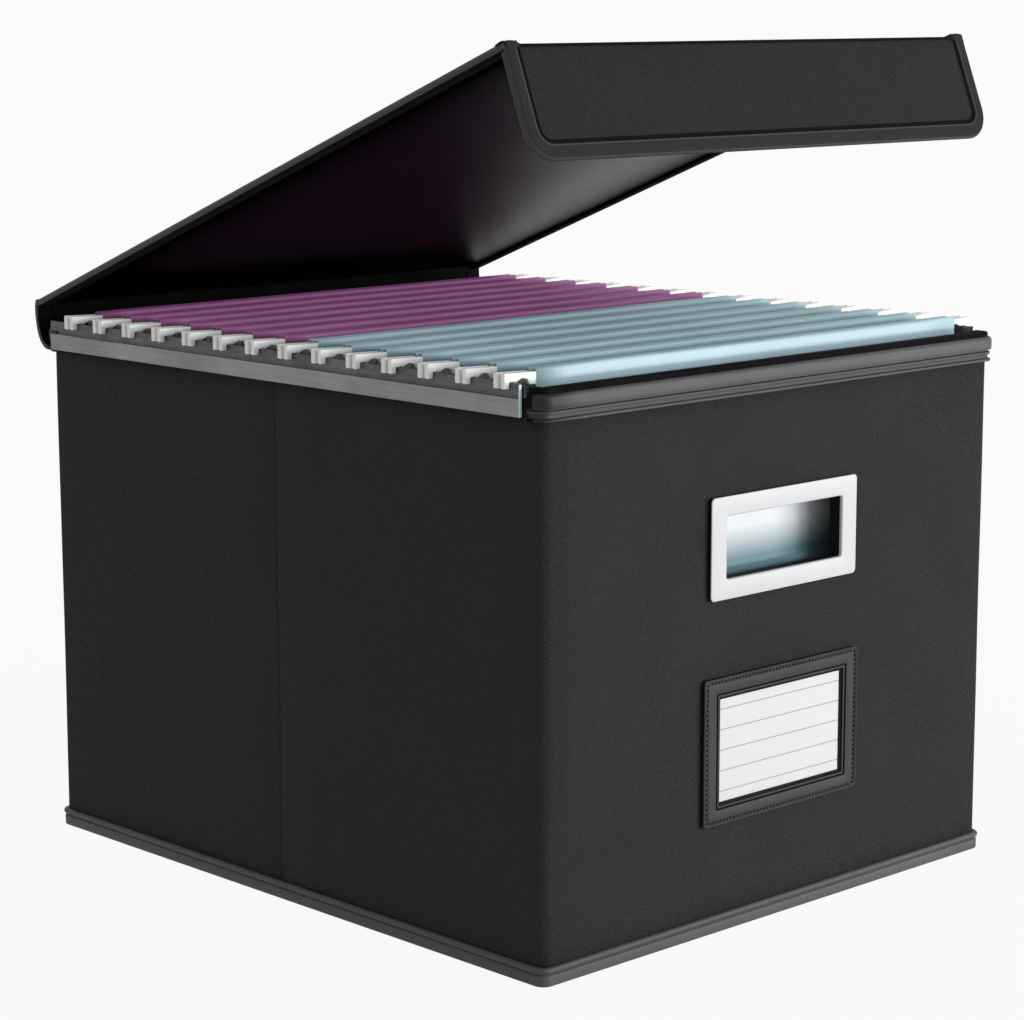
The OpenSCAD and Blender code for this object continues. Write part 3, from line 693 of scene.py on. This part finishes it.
def buildHandle(name, node, back):
    low, high = corners(node)
    plateLow, plateHigh = corners("front_handle_plate")
    place = facePlace(plateLow.z / 2 + plateHigh.z / 2, back)
    halfX, halfZ = (high.x - low.x) / 2, (high.z - low.z) / 2
    lip = bezel["lip"]
    windowX = plateHigh.x - bezel["insidePlate"] - lip
    windowZ = (plateHigh.z - plateLow.z) / 2 - bezel["insidePlate"] - lip
    thick = max(abs(low.y), abs(high.y)) - wallY
    deep = wallY - min(abs(low.y), abs(high.y))
    radius, edge, bottom = bezel["radius"], bezel["edge"], thick - bezel["face"]
    rings = [(halfX - 0.2, halfZ - 0.2, radius - 0.2, bottom), (halfX, halfZ, radius, bottom + 0.2)]
    for x, y in arc(0, thick - edge, edge, 0, 90, 4):
        rings.append((halfX - edge + x, halfZ - edge + x, radius - edge + x, y))
    for x, y in arc(0.8, thick - 0.8, 0.8, 90, 180, 4):
        rings.append((windowX + x, windowZ + x, bezel["windowRadius"] + x, y))
    inward = thick - bezel["deep"]
    rings.append((windowX, windowZ, bezel["windowRadius"], inward))
    rings += [(windowX + 1.0, windowZ + 1.0, 2.2, z) for z in (inward, bottom)]
    finishPiece(name, ringMesh(rings), silverLacquer, "box", [node], place, 50)

    inset = bezel["shadowGasketIn"]
    rings = [(halfX - inset, halfZ - inset, radius - inset, z) for z in (0.02, bottom)]
    rings += [(windowX + 1.1, windowZ + 1.1, 2.4, z) for z in (bottom, inward - 0.05)]
    rings += [(windowX + 0.1, windowZ + 0.1, 1.5, z) for z in (inward - 0.05, -deep)]
    rings += [(windowX + lip, windowZ + lip, 3.2, z) for z in (-deep, 0.02)]
    shadowGasket = ringMesh(rings)
    finishPiece(name + "ShadowGasket", shadowGasket, paintedShadeRubber, "box", place=place, sharp=50)


buildHandle("frontHandleFrame", "front_handle", False)
buildHandle("backHandleFrame", "back_handle", True)


# Label frame: raised piped edge, stitch channel, flat band, groove, ridge and inner bevel, the groove and
# inner bevel black as painted shade
label = {"radius": 2.2, "windowX": 43.3, "windowZ": 25.0, "hole": 5.3, "stitch": 2.4, "stitchIn": 0.18,
         "shadowBacking": 1.8, "groove": (0.69, 0.76), "inside": 0.86}


def stitches(bm, row, length, width, height):
    # short raised threads at each place of the row, turned along its direction
    for x, y, angle in row:
        place = Matrix.Translation((x, y, height)) @ Matrix.Rotation(angle, 4, "Z")
        bmesh.ops.create_uvsphere(bm, u_segments=6, v_segments=4, radius=1,
                                  matrix=place @ Matrix.Diagonal((length / 2, width / 2, width / 2, 1)))


def roundedRow(halfX, halfY, radius, spacing):
    # evenly spaced places along a rounded rectangle, with the direction at each
    runs = []
    for side in range(4):
        angle = side * math.pi / 2
        long, deep = (halfX, halfY) if side % 2 == 0 else (halfY, halfX)
        frameOf = Matrix.Rotation(angle, 2)
        for step in range(round(2 * (long - radius) / spacing)):
            at = frameOf @ Vector((radius - long + (step + 0.5) * spacing, -deep))
            runs.append((at.x, at.y, angle))
        bend = max(1, round(radius * math.pi / 2 / spacing))
        for step in range(bend):
            t = (step + 0.5) / bend * math.pi / 2
            bent = Vector((long - radius + radius * math.sin(t), radius - deep - radius * math.cos(t)))
            at = frameOf @ bent
            runs.append((at.x, at.y, angle + t))
    return runs


def buildLabelFrame():
    low, high = corners("label_holder")
    halfX, halfZ = (high.x - low.x) / 2, (high.z - low.z) / 2
    thick = abs(low.y) - wallY
    place = facePlace((low.z + high.z) / 2, False)
    spanX, spanZ = halfX - label["windowX"], halfZ - label["windowZ"]
    # share of the way from the outer edge to the window, and height above the wall
    profile = [(0.02, 1.8), (0.0, 2.0), (0.02, 2.4), (0.06, 2.6), (0.1, 2.4), (0.13, 1.95), (0.22, 1.95),
               (0.25, 2.25), (0.3, 2.35), (0.66, 2.35), (0.69, 2.2), (0.71, 1.5), (0.76, 1.5), (0.78, 2.1),
               (0.81, 2.25), (0.86, 2.1), (0.9, 1.2), (1.0, 0.85)]
    bm = bmesh.new()
    loops = []
    for share, height in profile:
        radius, z = max(0.5, label["radius"] * (1 - share)), height * thick / 2.6
        loops.append(roundLoop(bm, halfX - spanX * share, halfZ - spanZ * share, radius, z))
    low, high = label["groove"]
    inks = [1 if low <= share <= high or share >= label["inside"] else 0 for share, _ in profile]
    skinLoops(bm, loops, closed=True, inks=inks)
    leather, finishes = "label_frame_leather", [leatherette, paintedShadeRubber]
    finishPiece("labelFrame", bm, finishes, "box", ["label_holder"], place, 35)
    windowX, windowZ = label["windowX"] + label["hole"], label["windowZ"] + label["hole"]
    # a black ring under the frame, painted shade along its edges
    rings = [(halfX - 0.1, halfZ - 0.1, 2.1, z) for z in (0.02, label["shadowBacking"])]
    rings += [(windowX, windowZ, 1.0, z) for z in (label["shadowBacking"], 0.02)]
    finishPiece("labelShadowBacking", ringMesh(rings), paintedShadeRubber, "box", place=place, sharp=50)
    bm = bmesh.new()
    share = label["stitchIn"]
    row = roundedRow(halfX - share * spanX, halfZ - share * spanZ, 1.6, label["stitch"])
    stitches(bm, row, 1.5, 0.9, 2.0)
    finishPiece("labelStitches", bm, thread, "box", place=place)


def buildCard():
    low, high = cardLow, cardHigh
    halfX, halfZ = (high.x - low.x) / 2, (high.z - low.z) / 2
    bm = ringMesh([(halfX, halfZ, 1.2, z) for z in (0.0, high.y - low.y)], False, 4)
    capEnds(bm)
    cutAt(bm, 0, spaced(-halfX, halfX, 10))
    for v in bm.verts:
        v.co.z += -wallY - high.y + 0.12 * math.sin(v.co.x / halfX * 2.2)
    place = facePlace((low.z + high.z) / 2, False)
    finishPiece("labelCard", bm, bleachedCard, "card", ["label_card"], place, 30)


buildLabelFrame()
buildCard()
print("rails, hand holes and label built")


# Folders: one folded card sheet each, looped over two strips at the top
folder = {"sheet": 0.5, "loop": 1.35, "tab": 8.0, "bow": 0.8, "count": 14}
hook = {"thick": 2.7, "prong": 3.1, "seat": 0.1, "round": 1.1, "arch": 14.0, "neck": 20.0, "pitch": 4.7}


def buildSleeve(number):
    node = f"folder_{number:02d}"
    low, high = corners(node)
    middle = (low.y + high.y) / 2
    outer = (high.y - low.y) / 2 - folder["sheet"] / 2
    loop = folder["loop"]
    loopZ = high.z - folder["sheet"] / 2 - loop
    tabTop = loopZ - 7.0
    half = [(outer - 0.55, tabTop - folder["tab"]), (outer - 0.55, tabTop - 0.8),
            (outer - 2 * loop + 0.1, tabTop + 0.2)] + arc(outer - loop, loopZ, loop, 180, 0, 8)
    half += [(outer, tabTop - folder["tab"])]
    bend = arc(0, low.z + outer, outer, 0, -90, 5)
    side = half + [(outer, low.z + outer + (tabTop - low.z) * s) for s in (0.75, 0.5, 0.25)] + bend
    points = side + [(-x, z) for x, z in reversed(side[:-1])]
    bm = bmesh.new()
    run = drawSection(bm, points, acrossX(low.x, middle, 0), closed=False)
    pull(bm, run, (high.x - low.x, 0, 0), 14)
    span = high.z - low.z
    for v in bm.verts:
        down = (high.z - 16 - v.co.z) / span
        if down > 0:
            uneven = 1 + 0.3 * noise.noise(Vector((number, v.co.x / 90, 0)))
            v.co.y -= folder["bow"] * math.sin(math.pi * min(1, down)) * uneven
        v.co.z += 0.25 * noise.noise(Vector((v.co.x / 60, number * 3.1, 1)))
    light = number <= 7
    finish = cardPaintedLight if number == 1 else cardBlue if light else cardPurple
    piece = finishPiece(f"folderSleeve{number:02d}", bm, finish, node, [node], sharp=60)
    return thicken(piece, folder["sheet"], 0)


def buildHooks(number):
    node = f"folder_{number:02d}_rods"
    low, high = corners(node)
    middle = (low.y + high.y) / 2
    lip = corners("right_rail")[1]
    seat = lip.z + hook["seat"]
    tip, prong, arch, neck = [high.x - back for back in (0, hook["prong"], hook["arch"], hook["neck"])]
    wallSide = lip.x - 3.0
    outline = [(neck, high.z - 0.7), (tip, high.z), (tip, low.z), (prong, low.z), (prong, seat),
               (wallSide, seat), (wallSide - 0.8, seat - 0.6), (wallSide - 2.2, seat + 0.3),
               (wallSide - 4.5, seat + 1.2), (arch, seat + 0.6), (arch - 1.4, low.z + 0.8),
               (neck, low.z + 0.8)]
    bm = bmesh.new()
    for row in (-1, 1):
        stripY = middle + row * hook["pitch"] / 2
        for side in (-1, 1):
            part = bmesh.new()
            run = drawSection(part, outline, acrossY(side, 0, stripY - hook["thick"] / 2, 0))
            pull(part, run, (0, hook["thick"], 0))
            capEnds(part)
            bmesh.ops.recalc_face_normals(part, faces=part.faces)
            sharpEdges = [e for e in part.edges if e.calc_face_angle(0) > math.radians(35)]
            bevelEdges(part, sharpEdges, hook["round"], 3, True)
            temp = bpy.data.meshes.new("part")
            part.to_mesh(temp)
            part.free()
            bm.from_mesh(temp)
            bpy.data.meshes.remove(temp)
        strip = addBox(bm, (0, stripY, high.z - 3.6), (2 * (neck + 2), 1.2, 6.2))
        edges = {e for v in strip for e in v.link_edges}
        long = [e for e in edges if abs(e.verts[0].co.x - e.verts[1].co.x) > 1]
        for f in {f for v in strip for f in v.link_faces}:
            f.material_index = 1
        bevelEdges(bm, long, 0.25)
    finishes = [hookNylon, stripSteel]
    return finishPiece(f"folderHooks{number:02d}", bm, finishes, node[:-5], [node], sharp=35)


for number in range(1, folder["count"] + 1):
    buildSleeve(number)
    buildHooks(number)
print("folders built")


# Lid: a cloth covered board, a film lining, and tape folded over the side edges
lid = {"edge": 0.9, "unevenness": 0.25, "patch": 80, "tapeWide": 8.0, "tail": 3.0, "lining": 0.4, "drop": 1.5,
       "dropLong": 12.0, "stitch": 3.2}


def tapeSection(half, wide, board):
    # tape folded over an edge whose nose is at x = 0, with a stitch groove and a ridge at each inner edge
    steps = [(0.1, 0.3), (0.5, 0), (1.0, 0.05), (1.3, 0.4), (1.9, 0.4), (2.2, 0.05), (3.0, 0)]
    upper = [(-wide, board)] + [(x - wide, half - down) for x, down in steps]
    nose = arc(-half, 0, half, 90, -90, 10)
    return upper + nose + [(x, -y) for x, y in reversed(upper)]


def buildLidBoard():
    low, high = corners("lid_board", shut=True)
    middle = Matrix.Translation(((low.x + high.x) / 2, (low.y + high.y) / 2, 0))
    halfX, halfY = (high.x - low.x) / 2, (high.y - low.y) / 2
    e, long = lid["edge"], lid["dropLong"]
    nose = arc(0, high.z + 0.3 - e, e, 0, 90, 4)
    rings = [(0.3, low.z), (0.0, low.z + 0.3)] + [(e - x, y) for x, y in nose]
    bm = bmesh.new()
    skinLoops(bm, [roundLoop(bm, halfX - inset, halfY - inset, 2.5 - inset, z, 3) for inset, z in rings])
    capEnds(bm)
    bmesh.ops.transform(bm, matrix=middle, verts=bm.verts)
    cutAt(bm, 0, spaced(low.x, high.x, 22))
    cutAt(bm, 1, spaced(low.y, high.y, 22) + [low.y + long * share for share in (0.1, 0.25, 0.5, 1.0)])
    ripple(bm, lid["unevenness"], lid["patch"], 8.1, (0, 0, 1))
    for v in bm.verts:
        near = max(0, 1 - (v.co.y - low.y) / long)
        if v.co.z > low.z + 1:
            v.co.z -= lid["drop"] * near ** 2
    finishPiece("lidCloth", bm, lidTwill, "lid", ["lid_board"], lidPlace, 40)


def buildLining():
    low, high = corners("lid_lining", shut=True)
    bm = bmesh.new()
    place = Matrix.Translation((0, (low.y + high.y) / 2, low.z))
    place = place @ Matrix.Diagonal(((high.x - low.x) / 2 - 1, (high.y - low.y) / 2, 1, 1))
    bmesh.ops.create_grid(bm, x_segments=24, y_segments=28, size=1, matrix=place)
    bmesh.ops.reverse_faces(bm, faces=bm.faces)
    ripple(bm, 0.3, 55, 5.3, (0, 0, 1))
    piece = finishPiece("lidLining", bm, liningFilm, "lid", ["lid_lining"], lidPlace, 60,
                        keepNormals=True)
    thicken(piece, lid["lining"], -1)


def buildLidTapes():
    low, high = corners("lid_side_bindings", shut=True)
    half = (high.z - low.z) / 2
    bm = bmesh.new()
    for side in (-1, 1):
        plane = acrossY(side, side * high.x, low.y, low.z + half)
        run = drawSection(bm, tapeSection(half, lid["tapeWide"], half - 1.0), plane)
        pull(bm, run, (0, high.y - low.y + lid["tail"], 0), 20)
    capEnds(bm)
    # the tapes' undersides are black as painted shade
    for f in bm.faces:
        if f.calc_center_median().z < low.z + 0.8:
            f.material_index = 1
    finishes = [lidTape, paintedShadeBlack]
    finishPiece("lidSideTapes", bm, finishes, "lid", ["lid_side_bindings"], lidPlace, 50)
    bm = bmesh.new()
    step = lid["stitch"]
    count = round((high.y - low.y - 8) / step)
    for side in (-1, 1):
        across = side * (high.x - lid["tapeWide"] + 1.6)
        row = [(across, low.y + 5 + step * i, math.pi / 2) for i in range(count)]
        stitches(bm, row, 2.4, 0.55, high.z - 0.35)
        stitches(bm, row, 2.4, 0.55, low.z + 0.35)
    finishPiece("lidStitches", bm, thread, "lid", place=lidPlace)


buildLidBoard()
buildLining()
buildLidTapes()

# Flap: a cloth covered board that hangs from the lid's front edge, bound on three sides
flap = {"radius": 15.0, "tapeWide": 9.4, "crown": 0.5, "stitch": 3.0, "top": 282.6, "lip": 1.22, "ridge": 6.3,
        "groove": (7.25, 9.35), "nose": 0.7}


def insetFrom(point, halfX, low, radius):
    # distance in from the flap's outer edge, round its two lower corners
    x, y = abs(point.x) - (halfX - radius), low + radius - point.y
    return radius - (math.hypot(x, y) if min(x, y) > 0 else max(x, y))


def thinTop(bm, above):
    # over the lid's front edge only the outer cloth of the flap goes on up
    for v in bm.verts:
        if v.co.y > above:
            v.co.z = max(v.co.z, flap["lip"])


def buildFlap():
    low, high = corners("flap_binding", shut=True)
    boardLow, boardHigh = corners("flap_board", shut=True)
    halfX, half = high.x, (high.y - low.y) / 2
    radius, top, above = flap["radius"], flap["top"], high.z + 0.05
    hang = Matrix.Translation((0, (low.y + high.y) / 2, 0)) @ Matrix.Rotation(math.radians(90), 4, "X")
    inner = flap["tapeWide"] - 0.6
    thick = boardHigh.y - boardLow.y
    flatX, bend = halfX - inner, radius - inner
    outline = [(-flatX, top)] + arc(bend - flatX, low.z + radius, bend, 180, 270, 6)
    outline += arc(flatX - bend, low.z + radius, bend, 270, 360, 6) + [(flatX, top)]
    bm = bmesh.new()
    edges = drawSection(bm, outline, Matrix.Translation((0, 0, -thick / 2 - 0.1)))
    pull(bm, edges, (0, 0, thick + 0.2))
    capEnds(bm)
    cutAt(bm, 0, spaced(-flatX, flatX, 16))
    cutAt(bm, 1, spaced(low.z + inner, high.z - 2, 8) + [high.z - 0.1, above + 0.1])
    for v in bm.verts:
        side = math.copysign(1, v.co.z)
        inside = min(1, (flatX - abs(v.co.x)) / 14) * min(1, (v.co.y - low.z - inner) / 14)
        v.co.z += side * flap["crown"] * math.sin(max(0, inside) * math.pi / 2)
    ripple(bm, 0.2, 50, 2.2, (0, 0, 1))
    thinTop(bm, above)
    finishPiece("flapCloth", bm, flapTwill, "flap", ["flap_board"], lidPlace @ hang, 40)

    bm = bmesh.new()
    run = drawSection(bm, tapeSection(half, flap["tapeWide"], thick / 2), acrossY(-1, -halfX, top, 0))
    run = pull(bm, run, (0, above + 0.1 - top, 0))
    run = pull(bm, run, (0, -0.2, 0))
    run = pull(bm, run, (0, low.z + radius - above + 0.1, 0), 3)
    run = turn(bm, run, (radius - halfX, low.z + radius, 0), 90)
    run = pull(bm, run, (2 * (halfX - radius), 0, 0), 16)
    run = turn(bm, run, (halfX - radius, low.z + radius, 0), 90)
    run = pull(bm, run, (0, above - 0.1 - low.z - radius, 0), 3)
    run = pull(bm, run, (0, 0.2, 0))
    pull(bm, run, (0, top - above - 0.1, 0))
    capEnds(bm)
    thinTop(bm, above)
    # the groove is black as painted shade; the nose and the ridge take a lighter tape as painted highlight
    for f in bm.faces:
        inset = insetFrom(f.calc_center_median(), halfX, low.z, radius)
        if flap["groove"][0] < inset < flap["groove"][1]:
            f.material_index = 1
        elif inset < flap["nose"] or flap["ridge"] < inset < flap["groove"][0]:
            f.material_index = 2
    finishes = [flapTape, paintedShadeBlack, flapPaintedHighlight]
    finishPiece("flapTape", bm, finishes, "flap", ["flap_binding"], lidPlace @ hang, 50)

    bm = bmesh.new()
    depth = flap["tapeWide"] - 1.6
    tall = 60
    middle = low.z + depth + tall
    row = roundedRow(halfX - depth, tall, radius - depth, flap["stitch"])
    row = [(x, y + middle, angle) for x, y, angle in row if y + middle < high.z - 2]
    stitches(bm, row, 1.9, 0.8, half - 0.35)
    stitches(bm, row, 1.9, 0.8, 0.35 - half)
    finishPiece("flapStitches", bm, thread, "flap", place=lidPlace @ hang)


buildFlap()
print("lid and flap built")


# Cloth that bends at the two hinges
spine = {"thick": 1.2, "tapeThick": 2.3, "tapeIn": 8.8, "overlap": 8.0}
fold = {"thick": 0.5, "tabWide": 9.0, "tabThick": 0.5, "tuck": (0.4, 0.9)}


def bentStrips(bm, path, spans, steps):
    # the path, as depth and height, pulled across each span
    for low, high in spans:
        pull(bm, drawSection(bm, path, acrossX(low, 0, 0), closed=False), (high - low, 0, 0), steps)


def buildHingeCloth():
    # from the back wall, round a slack bend, to the lid's back edge, in the lid's pose at rest
    lidLow, lidHigh = corners("lid_side_bindings", shut=True)
    wallBack = corners("back_rim_binding")
    halfX, tapeX = lidHigh.x, lidHigh.x - spine["tapeIn"]
    back, foot = wallBack[1].y, wallBack[0].z
    tip = openLid @ Vector((0, lidHigh.y + lid["tail"], lidHigh.z))
    over = openLid @ Vector((0, lidHigh.y - spine["overlap"], lidHigh.z + 0.1))
    edge = openLid @ Vector((0, lidHigh.y, lidHigh.z + 0.1))
    slack = [(0.5, 1.0), (0.9, 5.0), (0.3, 11.0), (-0.9, 17.0), (-3.3, 21.8), (-6.6, 24.8)]
    bend = [(tip.y + y, tip.z - down) for y, down in slack] + [(back + 0.2, foot + 0.2)]
    path = [(over.y, over.z), (edge.y, edge.z), (tip.y - 0.5, tip.z + 0.1)] + bend
    bm = bmesh.new()
    bentStrips(bm, path, [(-tapeX, tapeX)], 24)
    sheet = finishPiece("hingeSpine", bm, [hingeCloth, paintedShadeBlack], None,
                        ["hinge_strip", "lid_back_strip"], sharp=60)
    soften(sheet)
    thicken(sheet, spine["thick"], -1, 1)
    bm = bmesh.new()
    tapePath = [(tip.y - 1.4, tip.z + 0.35), (tip.y - 0.5, tip.z + 0.1)] + bend
    bentStrips(bm, tapePath, [(-halfX, -tapeX), (tapeX, halfX)], 3)
    tapes = finishPiece("hingeTapes", bm, [lidTape, paintedShadeBlack], None, sharp=60)
    soften(tapes)
    thicken(tapes, spine["tapeThick"], -1, 1)
    for piece in (sheet, tapes):
        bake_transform(piece)


def buildFlapFold():
    lidLow, lidHigh = corners("lid_side_bindings", shut=True)
    front, high = lidLow.y, lidHigh.z
    halfX = lidHigh.x - fold["tabWide"] + 0.5
    over = [(12.0, 0.65), (6.0, 0.95), (3.0, 1.45), (1.0, 1.85), (-0.1, 2.35), (-0.8, 2.85), (-0.95, 3.45)]
    path = [(front + y, high - down) for y, down in over]
    bm = bmesh.new()
    bentStrips(bm, path, [(-halfX, halfX)], 24)
    # the fold over the lid's front edge is black as painted shade
    sheet = finishPiece("flapFold", bm, paintedShadeBlack, None, (), lidPlace, 60)
    thicken(sheet, fold["thick"], 1)
    over = [(7.0, 0.8), (3.5, 0.25), (1.2, 0.2), (-0.2, 0.9), (-0.7, 2.0), (-0.2, 3.4)]
    tab = [(front + y, high - down) for y, down in over]
    bm = bmesh.new()
    outer = lidHigh.x - 0.1
    inner = outer - fold["tabWide"]
    bentStrips(bm, tab, [(-outer, -inner), (inner, outer)], 4)
    for v in bm.verts:
        if abs(v.co.x) < inner + 0.1:
            v.co += Vector((0, fold["tuck"][0], -fold["tuck"][1]))
    tabs = finishPiece("flapCornerTabs", bm, flapTape, None, (), lidPlace, 60)
    soften(tabs)
    thicken(tabs, fold["tabThick"], 1)
    for piece in (sheet, tabs):
        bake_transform(piece)


buildHingeCloth()
buildFlapFold()
print("hinge cloth built")


# CAD nodes that stay, with their finishes
sideBoards = [f"{side}_{half}_board" for side in ("left", "right") for half in ("front", "rear")]
kept = [(baseFelt, ["base_cover"]), (greyBoard, ["base_board"]),
        (linedBoard, ["base_insert", "front_board", "back_board"] + sideBoards),
        (baseTapeFinish, ["left_fold_tape", "right_fold_tape"]),
        (platePlastic, ["front_handle_plate", "back_handle_plate"])]
for finish, names in kept:
    for node in names:
        nodes[node].data.materials.clear()
        nodes[node].data.materials.append(finish)


# Studio: an even pale surround, a broad low lamp from the front right and a higher one from the front
studio = {"surround": 0.46, "backdrop": 0.965, "floorSize": 30, "floorTone": 0.8, "floorGlow": 0.965,
          "floorBounce": 0.2, "aim": (0, 0, 0.15)}
lamps = {"lowLamp": {"power": 54, "place": (1.9, -2.5, 0.14), "size": (1.8, 0.25)},
         "upperLamp": {"power": 36, "place": (0.9, -2.8, 0.75), "size": (1.6, 0.5)}}


def seenShare(tree):
    # 1 for what the camera, a gloss or a clear material sees, 0 for what lights the object
    rays = addNode(tree, "ShaderNodeLightPath")
    some = calc(tree, "MAXIMUM", rays.outputs["Is Camera Ray"], rays.outputs["Is Glossy Ray"])
    return calc(tree, "MAXIMUM", some, rays.outputs["Is Transmission Ray"])


world = bpy.data.worlds.new("studio")
scene.world = world
world.use_nodes = True
tree = world.node_tree
level = remap(tree, seenShare(tree), (0, 1), (studio["surround"], studio["backdrop"]))
tree.nodes["Background"].inputs["Color"].default_value = (1, 1, 1, 1)
tree.links.new(level, tree.nodes["Background"].inputs["Strength"])

for name, look in lamps.items():
    lampData = bpy.data.lights.new(name, "AREA")
    lampData.shape = "RECTANGLE"
    lampData.size, lampData.size_y = look["size"]
    lampData.energy = look["power"]
    lamp = bpy.data.objects.new(name, lampData)
    lamp.location = look["place"]
    lamp.rotation_euler = (Vector(studio["aim"]) - lamp.location).to_track_quat("-Z", "Y").to_euler()
    scene.collection.objects.link(lamp)

paintedFloor = bpy.data.materials.new("paintedStudioFloor")
paintedFloor.use_nodes = True
tree = paintedFloor.node_tree
tree.nodes.remove(tree.nodes["Principled BSDF"])
where = addNode(tree, "ShaderNodeTexCoord").outputs["Object"]
away = addNode(tree, "ShaderNodeVectorMath", {"operation": "LENGTH"}, {0: where})
reach = remap(tree, away.outputs["Value"], (0.3, 1.3), (studio["floorGlow"], 1.0), True)
more = calc(tree, "SUBTRACT", reach, studio["floorBounce"])
share = calc(tree, "MULTIPLY_ADD", more, seenShare(tree), studio["floorBounce"])
tone = studio["floorTone"]
paint = addNode(tree, "ShaderNodeBsdfDiffuse", {"Color": (tone, tone, tone, 1)})
glowTone = studio["backdrop"]
glow = addNode(tree, "ShaderNodeEmission", {"Color": (glowTone, glowTone, glowTone, 1), "Strength": 1.0})
mix = addNode(tree, "ShaderNodeMixShader", links={0: share, 1: paint.outputs[0], 2: glow.outputs[0]})
tree.links.new(mix.outputs[0], tree.nodes["Material Output"].inputs["Surface"])

bm = bmesh.new()
bmesh.ops.create_grid(bm, x_segments=8, y_segments=8, size=studio["floorSize"] / 2)
floorMesh = bpy.data.meshes.new("floor")
bm.to_mesh(floorMesh)
bm.free()
floorMesh.materials.append(paintedFloor)
floor = bpy.data.objects.new("floor", floorMesh)
scene.collection.objects.link(floor)
print("studio ready")
